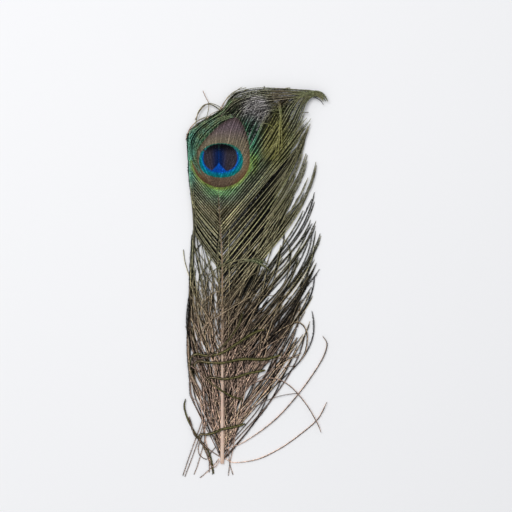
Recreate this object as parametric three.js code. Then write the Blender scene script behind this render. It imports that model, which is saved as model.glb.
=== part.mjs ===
// A peacock's eyed tail feather, cut to its top 27 cm and lying face up on a flat surface.
//
// It is laid out in millimetres from the cut end of its shaft: +Y runs along the shaft to the
// crown, +X across it and +Z up off the surface. At the end the whole feather is moved so that
// its origin is the middle of its box, on the surface.

import * as THREE from 'three';

// ---------------------------------------------------------------- driving dimensions

const SHAFT_LENGTH = 212;        // cut end to the fine point under the eye
const SHAFT_FOOT_WIDTH = 2.8;
const SHAFT_FOOT_HEIGHT = 2.2;
const SHAFT_TIP_WIDTH = 0.6;
const SHAFT_TIP_HEIGHT = 0.4;
const SHAFT_TAPER = 1.3;
const SHAFT_STEPS = 36;
const SHAFT_FLAT = 0.28;         // share of the section's height taken by its bevelled corners
const SHAFT_LEAN = -2.7;         // sideways shift of the shaft's upper end
const LEAN_START = 140;
const LEAN_END = 198;

const WEB_THICKNESS = 0.6;       // of each flat layer of barbs
const GAP = 0.3;                 // between pieces that touch
const CROWN_LEVEL = WEB_THICKNESS + GAP;
const EYE_LEVEL = CROWN_LEVEL + WEB_THICKNESS + GAP;

const TOOTH_COUNT = 26;          // barb ends along the outer edge, on each side of the shaft
const RIGHT_NOTCH = 0.82;        // how far out along a barb the gap between two free ends starts
const LEFT_NOTCH = 1.3;          // how deep the gaps are where the ends are pressed together
const EDGE_STEPS = 12;           // along the lowest and the highest barb of a side
const TOP_EDGE_POINTS = 8;       // of them kept on the highest, short of its pressed end
const LOWEST_ROOT = 6;
const HIGHEST_ROOT = 143;        // barbs rooted above this height carry the eye and the crown

const CROWN_TOOTH = 0.9;         // depth of the barb ends along the crown's edge
const CROWN_TEETH = 60;
const EYE_TOOTH = 0.5;           // depth of the barb ends along the edge of the webbed eye
const EYE_TEETH = 56;

const STRAY_WIDTH = 1.1;
const STRAY_HEIGHT = 0.7;
const STRAY_TIP_SHARE = 0.35;    // of the width and height left at a stray barb's tip
const STRAY_SIDES = 6;
const STRAY_STEPS = 26;

// How the barbs of each side lie. Each row is one height on the shaft, and the barbs between two
// rows blend them: root height, angle off the shaft at the root, tip place, angle off the
// shaft at the tip, and how far the curve runs on in its root and tip directions, as shares of
// the straight distance. The left barbs are pressed upright along a straight edge.
const RIGHT_BARBS = [
  { root: 6, leave: 28, tip: [56, 80], arrive: 32, out: 0.4, back: 0.3 },
  { root: 28, leave: 31, tip: [63, 113], arrive: 26, out: 0.4, back: 0.3 },
  { root: 56, leave: 33, tip: [69, 145], arrive: 20, out: 0.4, back: 0.35 },
  { root: 85, leave: 35, tip: [72, 181], arrive: 14, out: 0.4, back: 0.35 },
  { root: 114, leave: 37, tip: [69, 218], arrive: 10, out: 0.42, back: 0.35 },
  { root: 143, leave: 39, tip: [60, 246], arrive: 12, out: 0.45, back: 0.35 },
];
const LEFT_BARBS = [
  { root: 6, leave: 24, tip: [-26, 80], arrive: 0, out: 0.4, back: 0.4 },
  { root: 28, leave: 25, tip: [-26, 114], arrive: 0, out: 0.4, back: 0.4 },
  { root: 56, leave: 27, tip: [-26, 145], arrive: 0, out: 0.4, back: 0.4 },
  { root: 85, leave: 30, tip: [-26, 174], arrive: 0, out: 0.4, back: 0.4 },
  { root: 114, leave: 34, tip: [-26, 200], arrive: 0, out: 0.4, back: 0.4 },
  { root: 143, leave: 36, tip: [-26, 224], arrive: 0, out: 0.4, back: 0.4 },
];

// The edge of the crown, the free ends of the barbs that carry the eye: from the shaft up the
// left side, over the top to the hooked right end and back under it.
const CROWN_EDGE = [
  [-0.5, 144], [-9.5, 156], [-18, 173], [-24, 192], [-26, 212], [-26, 228], [-23.5, 239],
  [-14, 248.5], [-2, 257], [10, 263.5], [24, 267], [40, 268], [56, 268], [68, 266], [75.5, 261],
  [75, 257], [68, 257.5], [61, 252], [57.5, 236], [53, 219], [44.5, 200], [32.5, 181], [17.5, 161],
  [5, 147],
];

// The edge of the webbed eye, where its barbs part: lower point, left side, top and right side.
const EYE_EDGE = [
  [-2.6, 187], [-12, 192.5], [-20, 201], [-24.6, 213], [-25, 227], [-22, 237], [-13, 245.5],
  [-2, 252], [9, 255.5], [18, 251.5], [24, 241], [25.5, 228], [22.5, 213], [15, 201], [5.5, 191.5],
];

// Barbs that have come loose and curl over the rest, each from its root to its tip.
const STRAY_BARBS = [
  [[-2, 28.4, 1.3], [-12.4, 45.6, 1.4], [-21.7, 63.6, 1.5], [-23.5, 73.7, 1.6],
    [-18.9, 78.8, 1.8], [-10.9, 77.7, 2.4], [0, 79.9, 2.7], [9.9, 86, 2.4],
    [22.9, 94.2, 1.6], [30.1, 96.4, 1.6]],
  [[-2, 37, 1.3], [-10.2, 50, 1.4], [-18, 63.6, 1.5], [-20, 70.5, 1.6], [-16.8, 73.8, 1.9],
    [-10.9, 73, 2.4], [0.6, 72.7, 2.8], [13.5, 75.2, 2.7], [30.8, 75.2, 2.2], [41.6, 78, 1.6]],
  [[-2, 45, 1.3], [-8.1, 52.1, 1.4], [-11.3, 57.9, 1.6], [-9.9, 61.5, 2.2], [-5.9, 62, 2.6],
    [0.6, 61.1, 2.9], [9.9, 62.2, 2.6], [19.3, 65.1, 1.8], [30.8, 67.2, 1.6]],
  [[-2, 5.3, 1.3], [-9.5, 10.4, 2.4], [-15.8, 16.5, 2.6], [-15.8, 21, 2.6], [-10.5, 21.2, 2.6],
    [-4, 23.3, 2.9], [0.2, 25, 2.9], [10.9, 27.1, 2], [16.4, 28.7, 1.5]],
  [[-2, 2.2, 1.2], [-5.2, -2.4, 1], [-8.4, -0.8, 1], [-10.9, 6.5, 1], [-14.6, 14.5, 1],
    [-19.4, 21.9, 1], [-24.2, 30.5, 1], [-27.2, 40.2, 1], [-26.5, 46.4, 1.2]],
  [[-16.7, 239.3, 3.1], [-18.9, 244.4, 3], [-17.4, 252.3, 3], [-13.1, 257.7, 3.2],
    [-8.1, 258.3, 3.4], [-3, 255.5, 3.4], [0.6, 252.3, 3.2]],
  [[2, 10.4, 1.3], [16.4, 16.1, 1.3], [38, 32, 1.3], [56, 52.1, 1.3], [70.4, 73, 1.3],
    [75, 85.2, 1.4], [72.2, 91.7, 1.8]],
  [[2, 3.9, 1.3], [8.5, 0.8, 1.1], [25.1, 3.2, 0.8], [41.6, 11.1, 0.8], [56, 21.2, 0.8],
    [68.3, 32, 1], [75, 44.2, 1.8]],
  [[2, 44.2, 1.3], [20, 56.4, 1.4], [34.4, 61.5, 1.9], [47.4, 57.2, 2.5], [59.6, 44.2, 2.6],
    [68.3, 29.8, 2.4], [71.1, 22.6, 2.2]],
  [[2, 57.2, 1.2], [20, 80.2, 1.3], [41.6, 96, 1.4], [54.6, 101.8, 1.7], [61, 94.6, 2.1],
    [60.3, 81.6, 2.2], [56, 73.7, 2.2]],
];

// ---------------------------------------------------------------- finishes

function finish(name, color, roughness, metalness) {
  return new THREE.MeshStandardMaterial({ name, color, roughness, metalness });
}

const HORN = finish('horn', 0xe3cdb8, 0.5, 0);
const LOWER_HERL = finish('lower_herl', 0x574a37, 0.6, 0.1);
const CROWN_HERL = finish('crown_herl', 0x46593a, 0.5, 0.2);
const EYE_WEB = finish('eye_web', 0x1f7f96, 0.4, 0.3);
const STRAY_HERL = finish('stray_herl', 0x5c6138, 0.6, 0.1);

// ---------------------------------------------------------------- solids

function plate(outline, level, thickness) {
  const shape = new THREE.Shape(outline);
  const geometry = new THREE.ExtrudeGeometry(shape, { depth: thickness, bevelEnabled: false });
  return geometry.translate(0, 0, level);
}

// A section drawn about the origin, swept along a curve and scaled on the way.
function sweep(section, curve, steps, scaleAt) {
  const geometry = new THREE.ExtrudeGeometry(section, { depth: 1, steps, bevelEnabled: false });
  const position = geometry.attributes.position;
  const up = new THREE.Vector3(0, 0, 1);
  for (let i = 0; i < position.count; i += 1) {
    const along = position.getZ(i);
    const scale = scaleAt(along);
    const place = curve.getPoint(along);
    const side = up.clone().cross(curve.getTangent(along)).normalize();
    place.addScaledVector(side, position.getX(i) * scale.width);
    place.addScaledVector(up, position.getY(i) * scale.height);
    position.setXYZ(i, place.x, place.y, place.z);
  }
  return geometry;
}

// ---------------------------------------------------------------- shaft

function shaftX(y) {
  return SHAFT_LEAN * THREE.MathUtils.smoothstep(y, LEAN_START, LEAN_END);
}

function shaftScale(along) {
  const thinned = 1 - (1 - along) ** SHAFT_TAPER;
  return {
    width: THREE.MathUtils.lerp(SHAFT_FOOT_WIDTH, SHAFT_TIP_WIDTH, thinned),
    height: THREE.MathUtils.lerp(SHAFT_FOOT_HEIGHT, SHAFT_TIP_HEIGHT, thinned),
  };
}

class ShaftLine extends THREE.Curve {
  getPoint(along, target = new THREE.Vector3()) {
    const y = along * SHAFT_LENGTH;
    return target.set(shaftX(y), y, 0);
  }
}

// The section stands on a flat underside and is bevelled at its four corners.
function shaftGeometry() {
  const corner = SHAFT_FLAT / 2;
  const section = new THREE.Shape([
    new THREE.Vector2(-0.5 + corner, 0),
    new THREE.Vector2(0.5 - corner, 0),
    new THREE.Vector2(0.5, SHAFT_FLAT),
    new THREE.Vector2(0.5, 1 - SHAFT_FLAT),
    new THREE.Vector2(0.5 - SHAFT_FLAT, 1),
    new THREE.Vector2(-0.5 + SHAFT_FLAT, 1),
    new THREE.Vector2(-0.5, 1 - SHAFT_FLAT),
    new THREE.Vector2(-0.5, SHAFT_FLAT),
  ]);
  return sweep(section, new ShaftLine(), SHAFT_STEPS, shaftScale);
}

// The place beside the shaft at one height, a gap clear of it.
function besideShaft(side, y) {
  const halfWidth = shaftScale(y / SHAFT_LENGTH).width / 2;
  return new THREE.Vector2(shaftX(y) + side * (halfWidth + GAP), y);
}

// ---------------------------------------------------------------- barbs

function direction(side, degrees) {
  const angle = THREE.MathUtils.degToRad(degrees);
  return new THREE.Vector2(side * Math.sin(angle), Math.cos(angle));
}

function barbRow(rows, rootY) {
  const above = rows.findIndex((row, index) => index > 0 && row.root >= rootY);
  const upper = above < 0 ? rows.length - 1 : above;
  const low = rows[upper - 1];
  const high = rows[upper];
  const share = (rootY - low.root) / (high.root - low.root);
  const blend = (a, b) => THREE.MathUtils.lerp(a, b, share);
  return {
    leave: blend(low.leave, high.leave),
    tip: new THREE.Vector2(blend(low.tip[0], high.tip[0]), blend(low.tip[1], high.tip[1])),
    arrive: blend(low.arrive, high.arrive),
    out: blend(low.out, high.out),
    back: blend(low.back, high.back),
  };
}

function barbCurve(side, rootY) {
  const row = barbRow(side > 0 ? RIGHT_BARBS : LEFT_BARBS, rootY);
  const root = new THREE.Vector2(shaftX(rootY), rootY);
  const reach = root.distanceTo(row.tip);
  const afterRoot = direction(side, row.leave).multiplyScalar(reach * row.out).add(root);
  const beforeTip = direction(side, row.arrive).multiplyScalar(-reach * row.back).add(row.tip);
  return new THREE.CubicBezierCurve(root, afterRoot, beforeTip, row.tip);
}

// On the left the ends are pressed together, and their gaps close up towards the eye.
function gapBetweenEnds(side, rootY) {
  const barb = barbCurve(side, rootY);
  if (side > 0) {
    return barb.getPoint(RIGHT_NOTCH);
  }
  const closing = (HIGHEST_ROOT - rootY) / (HIGHEST_ROOT - LOWEST_ROOT);
  return barb.getPoint(1).add(new THREE.Vector2(LEFT_NOTCH * closing, 0));
}

// One side's barbs as a flat layer: up the outer edge from barb end to barb end, and back down
// beside the shaft.
function sideBarbs(side) {
  const lowest = barbCurve(side, LOWEST_ROOT);
  const highest = barbCurve(side, HIGHEST_ROOT);
  const clearOfShaft = (place) => side * (place.x - besideShaft(side, place.y).x) > 0;
  const outline = lowest.getPoints(EDGE_STEPS).filter(clearOfShaft);
  const step = (HIGHEST_ROOT - LOWEST_ROOT) / TOOTH_COUNT;
  for (let i = 1; i <= TOOTH_COUNT; i += 1) {
    const rootY = LOWEST_ROOT + step * i;
    outline.push(gapBetweenEnds(side, rootY - step / 2));
    outline.push(barbCurve(side, rootY).getPoint(1));
  }
  const wayBack = highest.getPoints(EDGE_STEPS).slice(0, TOP_EDGE_POINTS).reverse();
  outline.push(...wayBack.filter(clearOfShaft));
  for (let y = HIGHEST_ROOT; y >= LOWEST_ROOT; y -= step) {
    outline.push(besideShaft(side, y));
  }
  return plate(outline, 0, WEB_THICKNESS);
}

// A flat layer inside a smooth closed edge, with barb ends as teeth all round it.
function toothedPlate(points, teeth, toothDepth, level) {
  const edge = points.map(([x, y]) => new THREE.Vector3(x, y, 0));
  const curve = new THREE.CatmullRomCurve3(edge, true, 'centripetal');
  const outline = [];
  for (let i = 0; i < teeth * 2; i += 1) {
    const along = i / (teeth * 2);
    const place = curve.getPointAt(along);
    const tangent = curve.getTangentAt(along);
    const depth = i % 2 === 0 ? 0 : toothDepth;
    outline.push(new THREE.Vector2(place.x + tangent.y * depth, place.y - tangent.x * depth));
  }
  return plate(outline, level, WEB_THICKNESS);
}

// ---------------------------------------------------------------- stray barbs

function strayGeometry(points) {
  const section = new THREE.Shape();
  for (let i = 0; i < STRAY_SIDES; i += 1) {
    const angle = (i / STRAY_SIDES) * 2 * Math.PI;
    const corner = new THREE.Vector2(Math.cos(angle) / 2, Math.sin(angle) / 2);
    if (i === 0) {
      section.moveTo(corner.x, corner.y);
    } else {
      section.lineTo(corner.x, corner.y);
    }
  }
  section.closePath();
  const line = new THREE.CatmullRomCurve3(points.map((point) => new THREE.Vector3(...point)));
  return sweep(section, line, STRAY_STEPS, (along) => {
    const left = THREE.MathUtils.lerp(1, STRAY_TIP_SHARE, along);
    return { width: STRAY_WIDTH * left, height: STRAY_HEIGHT * left };
  });
}

// ---------------------------------------------------------------- the feather

const feather = new THREE.Group();
feather.name = 'peacock_feather';

function addPiece(name, geometry, material) {
  const piece = new THREE.Mesh(geometry, material);
  piece.name = name;
  feather.add(piece);
}

addPiece('shaft', shaftGeometry(), HORN);
addPiece('left_barbs', sideBarbs(-1), LOWER_HERL);
addPiece('right_barbs', sideBarbs(1), LOWER_HERL);
addPiece('crown_barbs', toothedPlate(CROWN_EDGE, CROWN_TEETH, CROWN_TOOTH, CROWN_LEVEL), CROWN_HERL);
addPiece('eye_web', toothedPlate(EYE_EDGE, EYE_TEETH, EYE_TOOTH, EYE_LEVEL), EYE_WEB);
STRAY_BARBS.forEach((points, index) => {
  const number = String(index + 1).padStart(2, '0');
  addPiece(`stray_barb_${number}`, strayGeometry(points), STRAY_HERL);
});

const box = new THREE.Box3().setFromObject(feather, true);
feather.position.set(-(box.min.x + box.max.x) / 2, -(box.min.y + box.max.y) / 2, -box.min.z);

export default feather;
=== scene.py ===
"""A peacock's eyed tail feather: its shaft, webbed eye, loose barbs, crown and stray barbs."""

import math

import bpy
import numpy as np
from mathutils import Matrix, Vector


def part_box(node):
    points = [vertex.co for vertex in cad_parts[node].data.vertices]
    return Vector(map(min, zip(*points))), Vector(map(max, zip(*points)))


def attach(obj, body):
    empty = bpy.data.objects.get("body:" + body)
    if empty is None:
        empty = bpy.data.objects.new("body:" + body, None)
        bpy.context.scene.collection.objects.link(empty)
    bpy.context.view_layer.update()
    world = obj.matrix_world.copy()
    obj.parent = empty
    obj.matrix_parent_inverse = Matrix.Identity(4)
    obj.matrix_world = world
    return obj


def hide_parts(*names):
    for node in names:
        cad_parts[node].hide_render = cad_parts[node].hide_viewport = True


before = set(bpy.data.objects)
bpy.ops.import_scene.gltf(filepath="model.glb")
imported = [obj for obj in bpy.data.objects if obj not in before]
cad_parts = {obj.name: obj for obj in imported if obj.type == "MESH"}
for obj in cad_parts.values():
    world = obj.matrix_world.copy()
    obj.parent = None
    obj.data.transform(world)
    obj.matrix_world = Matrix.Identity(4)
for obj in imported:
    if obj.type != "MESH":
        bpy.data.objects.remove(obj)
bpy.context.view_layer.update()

bl_info = {
    "name": "Peacock Eye Feather",
    "version": (1, 0, 0),
    "blender": (4, 5, 0),
    "location": "3D View > Sidebar > Feather",
    "description": "Dresses the packed frame of a cut peacock eye feather",
    "category": "Add Mesh",
}

MM = 0.001  # the layout below is in millimetres, from the shaft's cut foot

# ------------------------------------------------------------------ layout of the feather

SHAFT_LENGTH = 212.0
SHAFT_FOOT = (2.8, 2.2)  # width and height
SHAFT_POINT = (0.6, 0.4)
SHAFT_TAPER = 1.3  # over 1, so that it thins soonest near its foot
SHAFT_LEAN = -2.7  # how far its upper part is bent sideways
LEAN_SPAN = (140.0, 198.0)  # the heights between which it bends
SHAFT_SIDES = 20
SHAFT_RINGS = 54
HOLLOW_RIM = (0.08, 0.16)  # two steps in from the edge of the cut foot
HOLLOW_DEPTH = 0.9
HOLLOW_END = 0.2  # and a step in at the hollow's end

# How the barbs of each side lie: root height, angle off the shaft at the root, tip place,
# angle off the shaft at the tip, and how far the curve runs on at its root and at its tip.
RIGHT_ROWS = np.array([
    (3, 44, 57, 98, 12, 0.42, 0.35),
    (12, 37, 60, 110, 12, 0.42, 0.35),
    (28, 33, 63, 128, 14, 0.42, 0.35),
    (56, 34, 67, 154, 14, 0.40, 0.35),
    (85, 35, 70, 181, 14, 0.40, 0.35),
    (114, 37, 68, 216, 10, 0.42, 0.35),
    (143, 39, 60, 244, 12, 0.45, 0.35),
    (164, 40, 64, 248, 30, 0.60, 0.30),
    (181, 41, 61, 256, 55, 0.78, 0.25),
    (188, 41, 61, 263, 80, 0.80, 0.25),
    (193, 38, 58, 266, 90, 0.75, 0.35),
    (196, 30, 53, 267, 90, 0.55, 0.45),
    (199, 16, 45, 267, 85, 0.45, 0.55),
    (202, 0, 36, 267, 82, 0.42, 0.60),
])
LEFT_ROWS = np.array([
    (3, 27, -24, 76, -4, 0.40, 0.40),
    (28, 25, -25, 120, -4, 0.40, 0.40),
    (56, 28, -23, 160, -3, 0.40, 0.45),
    (85, 32, -22.5, 186, -3, 0.42, 0.45),
    (114, 34, -25.5, 199, -3, 0.45, 0.50),
    (143, 38, -25.5, 224, -5, 0.50, 0.50),
    (164, 41, -24, 238, -20, 0.60, 0.45),
    (180, 42, -16, 246, -58, 0.75, 0.45),
    (188, 44, 0, 256, -62, 0.75, 0.55),
    (193, 42, 11, 262, -65, 0.70, 0.65),
    (196, 32, 18.5, 265, -75, 0.55, 0.65),
    (199, 16, 26, 266, -80, 0.45, 0.62),
    (202, 0, 33, 267, -82, 0.42, 0.60),
])
# The outline that a flat edge has pressed the left barbs and the crown's left corner into.
LEFT_WALL = ((-20, -24), (60, -24), (89, -25), (118, -23), (150, -21.5), (168, -19.8),
             (182, -20.4), (205, -22.4), (226, -23.6), (240, -23.8))  # height, side
CROWN_WALL = ((-26, 236), (-17.4, 243), (-8.8, 247.6), (0, 253), (4, 259), (10, 266.5),
              (25, 270.5), (60, 270.5))  # side, height
WALL_GIVE = 1.6  # how softly those walls stop a barb
LOWEST_ROOT = 4.0
LOWEST_LINE = 0.3  # no barb's line dips below this height
LOWEST_RIB = 0.02  # and no rib, barbule or barbule's tip below these
LOWEST_BARBULE = 0.03
LOWEST_TIP = 0.05
RIB_TAPER = 0.45  # share of a rib's width lost at its tip
WAIST = 0.42  # share of a barbule's length at which it is widest
CANT = 0.22  # how far its two edges tilt there, as a share of its width
DARK_SHARE = 0.22  # share of the clumps that are as dark as their kind gets
VANE_ROOTS = {-1: 137.0, 1: 112.0}  # each side lies as a vane above it and loose below it
CROWN_ROOT = 166.0  # barbs rooted above it carry the eye and the crown
HIGHEST_ROOT = 202.0
EYE_CROSSING = 20.0  # how far from the shaft the eye's barbs are spaced evenly

# The eye, in millimetres about the middle of its turquoise disc, x to the right and y up.
EYE_PLACE = (-0.8, 217.9)
DISC = (15.8, 12.3, 2.25)  # half width, half height, squareness
PUPIL = (12.2, 10.0, 2.3)
PUPIL_PLACE = (-0.5, 1.9)
NOTCH_TIP = (-1.5, -0.8)
NOTCH_SPREAD = 0.32
NOTCH_FLARE = 1.5  # its sides curve outward downwards
NICK = (-12.6, 7.4)  # a break in the disc's edge
OVAL_HALF_WIDTH = 20.8
OVAL_BELOW = 19.4
OVAL_ABOVE = 31.5
OVAL_LEAN = 9.6  # sideways shift of the oval's upper point
REVERSE_PATCH = (25.0, 36.0)  # where the crown turns its greyer reverse side up
WEB_EDGE = 1.1  # the barbules hold together inside this oval distance
WANDER = 0.7  # how far a barb's tone moves its markings up or down
EYE_GLINTS = 0.3  # share of the painted glints that the eye shows
EYE_METAL = 0.3  # how metallic the eye is

# Where the random numbers of each group of barbs start.
SEEDS = {"right": 11, "left": 12, "crown": 21, "strays": 31, "folded": 41, "fine": 51,
         "tangle": 61, "crossings": 62}

# Single barbs that curl over the rest, from root to tip. They lie where their frame pieces are.
STRAY_BARBS = [
    [(-2, 28.4, 1.3), (-12.4, 45.6, 1.4), (-21.7, 63.6, 1.5), (-23.5, 73.7, 1.6),
     (-18.9, 78.8, 1.8), (-10.9, 77.7, 2.4), (0, 79.9, 2.7), (9.9, 86, 2.4),
     (22.9, 94.2, 1.6), (30.1, 96.4, 1.6)],
    [(-2, 37, 1.3), (-10.2, 50, 1.4), (-18, 63.6, 1.5), (-20, 70.5, 1.6), (-16.8, 73.8, 1.9),
     (-10.9, 73, 2.4), (0.6, 72.7, 2.8), (13.5, 75.2, 2.7), (30.8, 75.2, 2.2), (41.6, 78, 1.6)],
    [(-2, 45, 1.3), (-8.1, 52.1, 1.4), (-11.3, 57.9, 1.6), (-9.9, 61.5, 2.2), (-5.9, 62, 2.6),
     (0.6, 61.1, 2.9), (9.9, 62.2, 2.6), (19.3, 65.1, 1.8), (30.8, 67.2, 1.6)],
    [(-2, 5.3, 1.3), (-9.5, 10.4, 2.4), (-15.8, 16.5, 2.6), (-15.8, 21, 2.6),
     (-10.5, 21.2, 2.6), (-4, 23.3, 2.9), (0.2, 25, 2.9), (10.9, 27.1, 2), (16.4, 28.7, 1.5)],
    [(-2, 2.2, 1.2), (-5.2, -2.4, 1), (-8.4, -0.8, 1), (-10.9, 6.5, 1), (-14.6, 14.5, 1),
     (-19.4, 21.9, 1), (-24.2, 30.5, 1), (-27.2, 40.2, 1), (-26.5, 46.4, 1.2)],
    [(-16.7, 239.3, 3.1), (-18.9, 244.4, 3), (-17.4, 252.3, 3), (-13.1, 257.7, 3.2),
     (-8.1, 258.3, 3.4), (-3, 255.5, 3.4), (0.6, 252.3, 3.2)],
    [(2, 10.4, 1.3), (16.4, 16.1, 1.3), (38, 32, 1.3), (56, 52.1, 1.3), (70.4, 73, 1.3),
     (75, 85.2, 1.4), (72.2, 91.7, 1.8)],
    [(2, 3.9, 1.3), (8.5, 0.8, 1.1), (25.1, 3.2, 0.8), (41.6, 11.1, 0.8), (56, 21.2, 0.8),
     (68.3, 32, 1), (75, 44.2, 1.8)],
    [(2, 44.2, 1.3), (20, 56.4, 1.4), (34.4, 61.5, 1.9), (47.4, 57.2, 2.5), (59.6, 44.2, 2.6),
     (68.3, 29.8, 2.4), (71.1, 22.6, 2.2)],
    [(2, 57.2, 1.2), (20, 80.2, 1.3), (41.6, 96, 1.4), (54.6, 101.8, 1.7), (61, 94.6, 2.1),
     (60.3, 81.6, 2.2), (56, 73.7, 2.2)],
]

SHAGGY = 0.8  # strays with more fuzz than this are shaggy and olive
STRAY_LIFT = 0.35  # the shaggy ones lie on top
STRAY_FUZZ = (1.4, 1.45, 1.3, 1.3, 0.85, 0.6, 0.55, 0.5, 0.5, 0.7)  # how shaggy each one is

# Crown barbs folded down over the eye's left side lie between these two.
FOLDED_EDGES = (
    [(4, 253.5, 2.4), (-5, 250.6, 2.8), (-13, 246.2, 3.2), (-19.6, 240.8, 3.4),
     (-23.4, 234.5, 3.6), (-24, 228.5, 3.8), (-22.4, 221, 4), (-19.4, 214, 4), (-16, 208, 3.8)],
    [(8, 249, 3.4), (0, 246.2, 4.2), (-6.4, 241.6, 4.8), (-12, 236, 5), (-16, 230.5, 5),
     (-18.4, 224, 5), (-18.2, 217, 4.8), (-15.8, 211, 4.6), (-13, 206, 4.2)],
)
FOLDED_COUNT = 29

# Barbs in a tangle over the shaft where the vane turns loose, and thin ones that cross the
# loose barbs beside the quill.
TANGLE_COUNT = 36
TANGLE_LOW = (-9.0, 96.0)  # the middle of the places where they start
TANGLE_SPAN = (7.0, 15.0)  # and how widely those are spread
CROSSING_COUNTS = {-1: 14, 1: 40}  # on each side
CROSSING_SPAN = (10.0, 64.0)  # heights between which they start
CLEAR_OF_QUILL = 1.6  # how near its middle line they come
TANGLE_TUFT = [
    [(0, 141, 3.2), (7, 145, 3.7), (15, 147, 3.8), (23, 146, 3.8), (30, 142.6, 3.6),
     (34, 139, 3.2)],
    [(3, 140, 3.2), (10, 143.4, 3.6), (18, 145.4, 3.8), (26, 145.6, 3.7), (33, 143.4, 3.4)],
    [(1, 142, 3.4), (9, 145.4, 3.8), (17, 146.4, 4), (25, 144.4, 3.8), (31, 141, 3.5)],
    [(-15, 130, 2.4), (-8, 137, 3.2), (0, 143, 3.6), (7, 147, 3.6)],
    [(2, 139.6, 3.4), (9, 143, 3.8), (16, 145.6, 4), (24, 147.2, 3.9), (31, 145, 3.5)],
]
# Fuzzy barbs that lie across the shaft.
CROSSING_BARBS = [
    [(-22.6, 70.4, 2.4), (-14.8, 64.9, 3), (-7.6, 57.7, 3.4), (-0.4, 52.8, 3.6), (6.8, 48.6, 3.3),
     (14, 46.4, 2.6)],
    [(-22.4, 77.6, 2.2), (-16.2, 75.4, 2.9), (-9.6, 77.4, 3.4), (-1, 83.6, 3.5), (6.4, 91.4, 3.4),
     (11.6, 99.6, 3.2), (14.4, 107.4, 2.8)],
    [(-24, 34, 1.6), (-20.3, 21.9, 1.6), (-16, 16.8, 1.6), (-11.2, 11.1, 1.6), (-8.2, 3.7, 1.2),
     (-6.4, -7.1, 0.8)],
]

# Crown barbs that sweep over the top to the hooked end lie between these two, and rise to it
# from below between the next two.
SWEEP_EDGES = (
    [(-9, 244.5, 2.8), (1.5, 255.8, 3.4), (4.4, 260.6, 3.8), (9.2, 265.5, 4), (16, 267.8, 4.2),
     (26.5, 269.4, 4.4), (38, 269.3, 4.4), (48.6, 268.8, 4.2), (57, 268.3, 4), (65, 267.8, 3.8),
     (71.6, 265.6, 3.4), (76, 261.4, 3)],
    [(-4, 240.5, 3.4), (1, 246.8, 4), (9.2, 254, 4.4), (19, 258, 4.6), (29, 260, 4.8),
     (39, 261, 4.8), (48, 262, 4.6), (55, 262.8, 4.4), (61, 263.6, 4.2), (66.5, 262.8, 4),
     (70.5, 260.2, 3.6), (72.5, 256.6, 3)],
)
HOOK_EDGES = (
    [(22, 214, 2.4), (31.5, 228, 3.2), (37.5, 238.6, 3.8), (42.6, 247.6, 4.2), (48, 257, 4.4),
     (55, 264.2, 4.4), (63.4, 267.6, 4.2), (71.4, 266.4, 3.8), (76.4, 259.4, 3.2)],
    [(31, 208, 2), (42.6, 223, 2.6), (49, 233.8, 3.2), (54.6, 243.6, 3.8), (58, 252.4, 4.2),
     (61, 260, 4.2), (66, 264, 4), (70.4, 262.6, 3.6), (72.6, 258.4, 3)],
)
SWEEP_COUNT = 21
HOOK_COUNT = 20
RUFFLE_COUNT = 98  # short ruffled ends in the crown's reverse patch

# Hairs beyond the crown's edge, barbs that stand up over its right side, and single barbs at
# the feather's edges and foot.
CROWN_HAIRS = [
    [(-2.4, 250, 3), (0.6, 257.4, 3.2), (4, 263.4, 3.4), (9.6, 267.8, 3.4), (17, 270.2, 3.4)],
    [(-1, 249, 3), (2.4, 256, 3.2), (6.6, 262, 3.4), (12.4, 266.4, 3.4), (20, 269.4, 3.4)],
    [(-4, 248.6, 3), (-1, 255.6, 3.2), (2.4, 261, 3.4), (8.4, 266.6, 3.4), (14, 270.6, 3.4)],
    [(-25.5, 236, 2.6), (-20.5, 243.8, 2.8), (-14.5, 248.2, 3), (-6, 250.6, 3)],
    [(-26.2, 232.6, 2.4), (-23.4, 240.6, 2.6), (-17.6, 246.4, 2.8), (-9, 249.2, 3)],
    [(-13.8, 268, 3), (-11.6, 263, 3.2), (-9.6, 258.6, 3.4), (-10.2, 252, 3.4), (-13, 244, 3.2)],
    [(-19.6, 247, 3), (-15.6, 254, 3.1), (-9.8, 258.8, 3.5), (-3.4, 257.4, 3.5), (1, 254, 3.2)],
    [(-12.4, 246, 3), (-8, 251, 3.2), (-2.5, 253.6, 3.2), (3, 254.6, 3)],
]
UPRIGHT_BARBS = [
    [(40, 222, 4.4), (41, 234, 5), (41.7, 246, 5.2), (41.2, 254, 5.2), (40.2, 259.6, 5)],
    [(37.4, 220, 4.4), (39.8, 233, 5), (41.3, 245, 5.2), (41.2, 253, 5.2), (39.4, 257, 5)],
    [(43, 226, 4.4), (42.6, 236, 5), (42.3, 247, 5.3), (42, 255, 5.2), (41.2, 259, 5)],
]
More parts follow.
